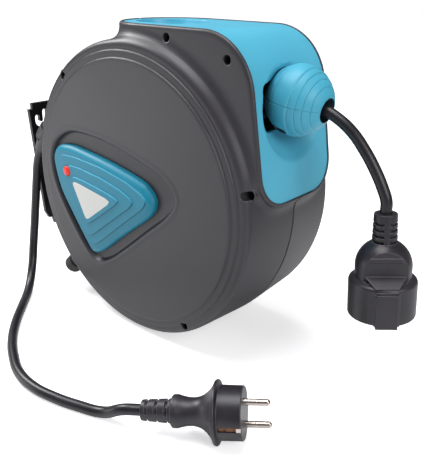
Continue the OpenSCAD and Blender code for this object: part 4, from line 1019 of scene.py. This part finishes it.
ballStop = {
    "radius": 27.0,
    "bands": (-25.6, -19, -9, 6, 11, 15.5, 20, 24.2),             # where the bands meet along the axis
    "drops": (1.2, 0.6, 0, 0.6, 1.15, 1.6, 2.0), "groove": 0.42,    # how far each lies inside the sphere
    "shares": (0.02, 0.07, 0.2, 0.4, 0.6, 0.8, 0.93, 0.98),    # where the rows of one band stand
    "rows": 56, "seam": 0.3, "seamRows": (0.002, 0.022),          # steps from seam to seam; the first angles
    "bore": 4.42, "recessFrom": 9.0, "recessMouth": 9.2,
    "screw": (-5.0, 16.5, 2.9, 6.0),              # place along and across, radius and length of the oval
    "pocket": (-30.0, -10.7),
}


def ballProfile():
    outside = []
    bands = ballStop["bands"]
    for i, drop in enumerate(ballStop["drops"]):
        a, b = bands[i], bands[i + 1]
        for k, share in enumerate(ballStop["shares"]):
            x = a + (b - a) * share
            ease = ballStop["groove"] if k in (0, 7) else 0.04 if k in (1, 6) else 0.0
            outside.append((sqrt(ballStop["radius"] ** 2 - x * x) - drop - ease, x))
    rim, rimX = outside[-1]
    bore, recess, recessX = (ballStop[k] for k in ("bore", "recessMouth", "recessFrom"))
    inside = [(rim - 0.15, rimX + 0.2), (recess + 0.15, rimX + 0.26), (recess, rimX + 0.1),
              (bore + 0.5, recessX + 0.4), (bore, recessX - 0.5), (bore, bands[0] - 0.1)]
    return [(outside[0][0] - 0.6, bands[0] - 0.1)] + outside + inside


def makeBallHalf(name, side, node):
    rings = []
    last = ballStop["rows"]
    first, second = ballStop["seamRows"]
    for k in range(last + 1):
        a, ease = pi * k / last, 0.0
        if k in (0, last):
            a += first if k == 0 else -first
            ease = ballStop["seam"]
        elif k in (1, last - 1):
            a = second if k == 1 else pi - second
        eased = [(r - ease if r > 10 else r, x) for r, x in ballProfile()]
        rings.append([(x, r * cos(a), side * r * sin(a)) for r, x in eased])
    bm = loftForm(rings)
    if side < 0:
        x, y, radius, oval = ballStop["screw"]
        pockets = gathered([ovalForm(x, s * y, oval, radius, *ballStop["pocket"]) for s in (-1, 1)])
        bmesh.ops.rotate(pockets, verts=pockets.verts, matrix=Matrix.Rotation(radians(90), 3, "X"))
        bm = carved(bm, [("DIFFERENCE", pockets)])
    finishPiece(name, bm, ballFrame, "ball_blue", "outlet", [node], 28)


ballAlong = Vector((cos(reel["ballTilt"]), 0, -sin(reel["ballTilt"])))
ballFrame = placed(reel["ball"] / mm, ballAlong, (-ballAlong.z, 0, ballAlong.x))
makeBallHalf("ball_upper_form", 1, "ball_upper")
makeBallHalf("ball_lower_form", -1, "ball_lower")
print("ball stop made")

# hanging coupler; its axis runs down along the frame's X

coupler = {
    "place": (382, 0, 22), "tilt": radians(4.5), "turn": radians(-34.4),
    "relief": (-10.0, 11.2, 8.4, 9.15),       # start, end and the two radii
    "slots": (-4.2, 0.3, 4.8, 9.3), "slotWide": 2.0, "slotFloor": 6.7, "spine": 11.0,
    "dome": (30.0, 38.0, 20.6), "domeFrom": 63.2,          # middle, foot, radius; degrees where it starts
    "flat": (12.0, -13.0, radians(3)),        # where it starts, how far off the axis it is, and its slope
    "collarRadius": 25.0, "collarFace": 68.0, "socketRadius": 20.2, "socketFrom": 40.0, "bore": 4.42,
    "lug": ((33.6, -12.0, 14.1), (34.2, -14.4, 14.1), (38.8, -23.6, 8.4), (39.8, -23.8, 8.2),
            (39.8, -12.0, 8.2)),              # corners, with half the width at each
    # from and to along the axis, out and in, half width, rounding
    "ridge": (19.6, 22.8, -15.0, -12.0, 11.5, 0.5),
    "ledge": (41.6, 44.2, -29.0, -21.0, 7.8, 0.9),
    "rib": (44.0, 69.6, -26.4, -20.6, 7.8, 0.5),
    "cheek": (43.0, 67.6, -25.1, -21.0, 1.1, 0.3), "cheekAt": 8.0,
}
couplerDown = Vector((sin(coupler["tilt"]), 0, -cos(coupler["tilt"])))
couplerFrame = placed(coupler["place"], couplerDown, (-couplerDown.z, 0, couplerDown.x))
couplerFrame @= Matrix.Rotation(coupler["turn"], 4, "X")


def slotRow(x, wide, floor, reach, spine):
    return [sectorForm(x, x + wide, floor, reach, start + spine, start + 180 - spine) for start in (0, 180)]


def barForm(sizes, offset=0.0):
    start, end, low, high, half, rounding = sizes
    return blockForm((start, low, offset - half), (end, high, offset + half), rounding)


def makeCoupler():
    start, end, r0, r1 = coupler["relief"]
    middle, foot, arcRadius = coupler["dome"]
    outer, face = coupler["collarRadius"], coupler["collarFace"]
    socket, bore = coupler["socketRadius"], coupler["bore"]
    profile = [(bore, start), (r0 - 0.9, start), (r0 - 0.25, start + 0.3), (r0, start + 1.0), (r1, end)]
    for k in range(15):
        a = radians(coupler["domeFrom"] - coupler["domeFrom"] * k / 14)
        profile.append((arcRadius * cos(a), middle - arcRadius * sin(a)))
    profile += [(20.4, foot), (20.7, foot + 0.5), (21.6, foot + 0.7), (23.4, foot + 1.4), (24.5, foot + 2.4),
                (outer, foot + 3.8), (outer, face - 0.9), (outer - 0.3, face - 0.2), (outer - 1.0, face),
                (socket + 0.6, face), (socket, face - 0.6), (socket, coupler["socketFrom"]),
                (bore, coupler["socketFrom"])]
    body = latheForm(profile, 112)
    slots = []
    for x in coupler["slots"]:
        slots += slotRow(x, coupler["slotWide"], coupler["slotFloor"], 13.0, coupler["spine"])
    flatFrom, flatAt, slope = coupler["flat"]
    flat = blockForm((flatFrom, -30, -30), (foot - 0.2, flatAt, 30))
    bmesh.ops.rotate(flat, verts=flat.verts, cent=(foot, flatAt, 0), matrix=Matrix.Rotation(slope, 3, "Z"))
    bm = carved(body, [("DIFFERENCE", gathered(slots)), ("DIFFERENCE", flat)])
    lug = loftForm([[(x, y, side * z) for x, y, z in coupler["lug"]] for side in (1, -1)])
    forms = [bm, lug] + [barForm(coupler[bar]) for bar in ("ridge", "ledge", "rib")]
    forms += [barForm(coupler["cheek"], side * coupler["cheekAt"]) for side in (-1, 1)]
    return finishPiece("coupler_form", gathered(forms), couplerFrame, "plug_black", "outlet",
                       ["coupler_body"], 30)


couplerForm = makeCoupler()
print("coupler made")

# plug; its axis is the frame's X and its pins stand above each other

lead = {
    "exit": Vector((0.049, -0.047, 0.045)),     # on the gland's axis, at the housing
    "tilt": radians(50),
    "plugAt": Vector((0.281, -0.148, -0.10549)),
    "plugYaw": radians(31),
    "plugPitch": radians(6.5),
}
leadDir = Vector((-cos(lead["tilt"]), 0, -sin(lead["tilt"])))
yaw, pitch = lead["plugYaw"], lead["plugPitch"]
plugDir = Vector((cos(yaw) * cos(pitch), sin(yaw) * cos(pitch), sin(pitch)))
plugUp = Vector((-sin(pitch) * cos(yaw), -sin(pitch) * sin(yaw), cos(pitch)))
plug = {
    "relief": (0.0, 23.0, 7.6, 8.9),          # start, end and the two radii
    "slots": (3.4, 10.8, 18.4), "slotWide": 2.3, "slotFloor": 6.3, "spine": 12.0,
    "ring": (23.0, 27.4, 11.9), "flange": (54.6, 56.9, 23.0), "face": 58.0, "bore": (4.42, 12.0),
    "body": (2.9, 12.2),                      # how far the body swells at its cord end and at its flange
    "insertRadius": 19.25, "insertEnd": 75.0,
    "pinRadius": 2.4, "pinPitch": 19.0, "pinLength": 19.0, "pinFrom": 67.2,
    "strip": 3.4, "stripGap": 0.35,           # width of the earth strips and the gap beside them
    # start, end, distance from the axis and half thickness of the cut, the strip and its bare tip
    "stripCut": (58.4, 75.6, 18.3, 1.2),
    "stripBar": (58.6, 74.2, 17.8, 0.5),
    "stripTip": (71.4, 74.7, 18.25, 0.75),
}
plugFrame = placed(lead["plugAt"] / mm, plugDir, plugUp)


def stripBars(sizes, half, rounding=0.0):
    start, end, away, thick = sizes
    return [barForm((start, end, y - thick, y + thick, half, rounding)) for y in (-away, away)]


def makePlug():
    start, end, r0, r1 = plug["relief"]
    ringStart, ringEnd, ring = plug["ring"]
    flangeStart, flangeEnd, flange = plug["flange"]
    bore, boreEnd = plug["bore"]
    swellStart, swellEnd = plug["body"]
    insert, insertEnd = plug["insertRadius"], plug["insertEnd"]
    profile = [(bore, start), (r0 - 0.9, start), (r0 - 0.25, start + 0.3), (r0, start + 1.0), (r1, end),
               (11.0, ringStart + 0.1), (11.7, ringStart + 0.8), (ring, ringStart + 1.8),
               (ring, ringEnd - 0.8)]
    for k in range(25):
        t = k / 24
        radius = r1 + swellStart * (1 - t) ** 3 + swellEnd * t ** 3.6
        profile.append((radius, ringEnd + 0.2 + (flangeStart - ringEnd - 0.6) * t))
    profile += [(22.4, flangeStart - 0.1), (flange - 0.1, flangeStart + 0.6), (flange, flangeStart + 1.2),
                (flange, flangeEnd - 0.6), (flange - 0.4, flangeEnd), (21.6, flangeEnd + 0.3),
                (19.9, flangeEnd + 0.6), (insert, plug["face"]), (insert - 0.25, insertEnd - 0.5),
                (insert - 0.7, insertEnd), (0, insertEnd), (0, boreEnd), (bore, boreEnd)]
    body = latheForm(profile, 112)
    slots = []
    for x in plug["slots"]:
        slots += slotRow(x, plug["slotWide"], plug["slotFloor"], 12.0 if x < 16 else 10.4, plug["spine"])
    half, radius = plug["strip"] / 2, plug["pinRadius"]
    pinAt = [side * plug["pinPitch"] / 2 for side in (-1, 1)]
    cuts = stripBars(plug["stripCut"], half + plug["stripGap"])
    cuts += [rodForm((66.0, 0, z), (76, 0, z), radius + 0.02, 40) for z in pinAt]
    bm = carved(body, [("DIFFERENCE", gathered(slots)), ("DIFFERENCE", gathered(cuts))])
    pins = []
    for z in pinAt:
        end = insertEnd + plug["pinLength"]
        pin = latheForm([(0, plug["pinFrom"]), (radius, plug["pinFrom"]), (radius, end - 2.2),
                         (radius - 0.25, end - 1.3), (radius - 0.9, end - 0.5), (radius - 1.6, end - 0.1),
                         (0, end)], 48)
        bmesh.ops.translate(pin, verts=pin.verts, vec=(0, 0, z))
        pins.append(pin)
    strips, tips = stripBars(plug["stripBar"], half, 0.25), stripBars(plug["stripTip"], half, 0.3)
    return [
        finishPiece("plug_form", bm, plugFrame, "plug_black", "housing", ["plug_body"], 30),
        finishPiece("plug_pins_form", gathered(pins), plugFrame, "pin_nickel", "housing", ["plug_pins"], 35),
        finishPiece("plug_strips_form", gathered(strips), plugFrame, "strip_brown", "housing",
                    ["plug_earth_strips"], 35),
        finishPiece("plug_strip_tips", gathered(tips), plugFrame, "pin_nickel", "housing", [], 35),
    ]


plugForms = makePlug()
print("plug made")

# cords

def cordPiece(name, points, body, replaced, handleSteps=8):
    data = bpy.data.curves.new(name, "CURVE")
    data.dimensions = "3D"
    data.resolution_u = handleSteps
    data.bevel_depth = reel["cord"] / 2
    data.bevel_resolution = 5
    data.use_fill_caps = True
    spline = data.splines.new("BEZIER")
    spline.bezier_points.add(len(points) - 1)
    for bezier, point in zip(spline.bezier_points, points):
        bezier.co = point
        bezier.handle_left_type = bezier.handle_right_type = "AUTO"
    data.materials.append(finishes["cord_black"])
    obj = linked(bpy.data.objects.new(name, data))
    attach(obj, body)
    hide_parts(replaced)
    return obj


leadRoute = [lead["exit"] + leadDir * d * mm for d in (3, 14, 27)]
leadRoute += [Vector(p) * mm for p in (
    (24, -47.5, 9), (21, -49, -10), (20, -52, -32), (20, -56, -56), (21, -61, -80), (25, -67, -98),
    (34, -77, -111), (46, -89, -116.6), (64, -107, -117.6), (88, -130, -117.6), (112, -149, -117.6),
    (136, -163, -117.6), (160, -173, -117.6), (185, -176, -117.6), (208, -173, -117.6),
    (230, -167, -117.6), (251, -160, -116.4))]
leadRoute += [lead["plugAt"] + plugDir * d * mm for d in (-14, 0, 11)]
leadCord = cordPiece("lead_cord_sheath", leadRoute, "housing", "lead_cord")

outgoingRoute = [Vector(p) * mm for p in (
    (314, 0, 98.9), (324, 0, 97.1), (335, 0, 93), (348, 0, 85), (359.5, 0, 73.5), (369.5, 0, 60.5),
    (376.8, 0, 48.5), (380.59, 0, 39.94), (381.06, 0, 33.96), (381.53, 0, 27.98), (382, 0, 22))]
outgoingCord = cordPiece("outgoing_cord_sheath", outgoingRoute, "outlet", "outgoing_cord")

winding = {"loops": 3, "pitch": 9.3, "perLoop": 16, "radius": 95.0, "ends": 8.7}
innerRoute = [drumPoint(x, 0, winding["radius"]) for x in (9.2, 38, 66, 86)] + [drumPoint(98, 0, 94.85)]
innerRoute += [reel["ball"] + ballAlong * d * mm for d in (-24, -18)]
cordPiece("inner_cord_sheath", innerRoute, "outlet", "inner_cord")

woundRoute = [drumPoint(-winding["ends"], winding["loops"] * winding["pitch"], winding["radius"])]
for step in range(winding["loops"] * winding["perLoop"] + 1):
    turn = step / winding["perLoop"]
    angle = radians(90 - 360 * turn)
    woundRoute.append(drumPoint(winding["radius"] * cos(angle), winding["pitch"] * (winding["loops"] - turn),
                                winding["radius"] * sin(angle)))
woundRoute.append(drumPoint(winding["ends"], 0, winding["radius"]))
cordPiece("wound_cord_sheath", woundRoute, "drum", "wound_cord", 5)

print("cords laid")
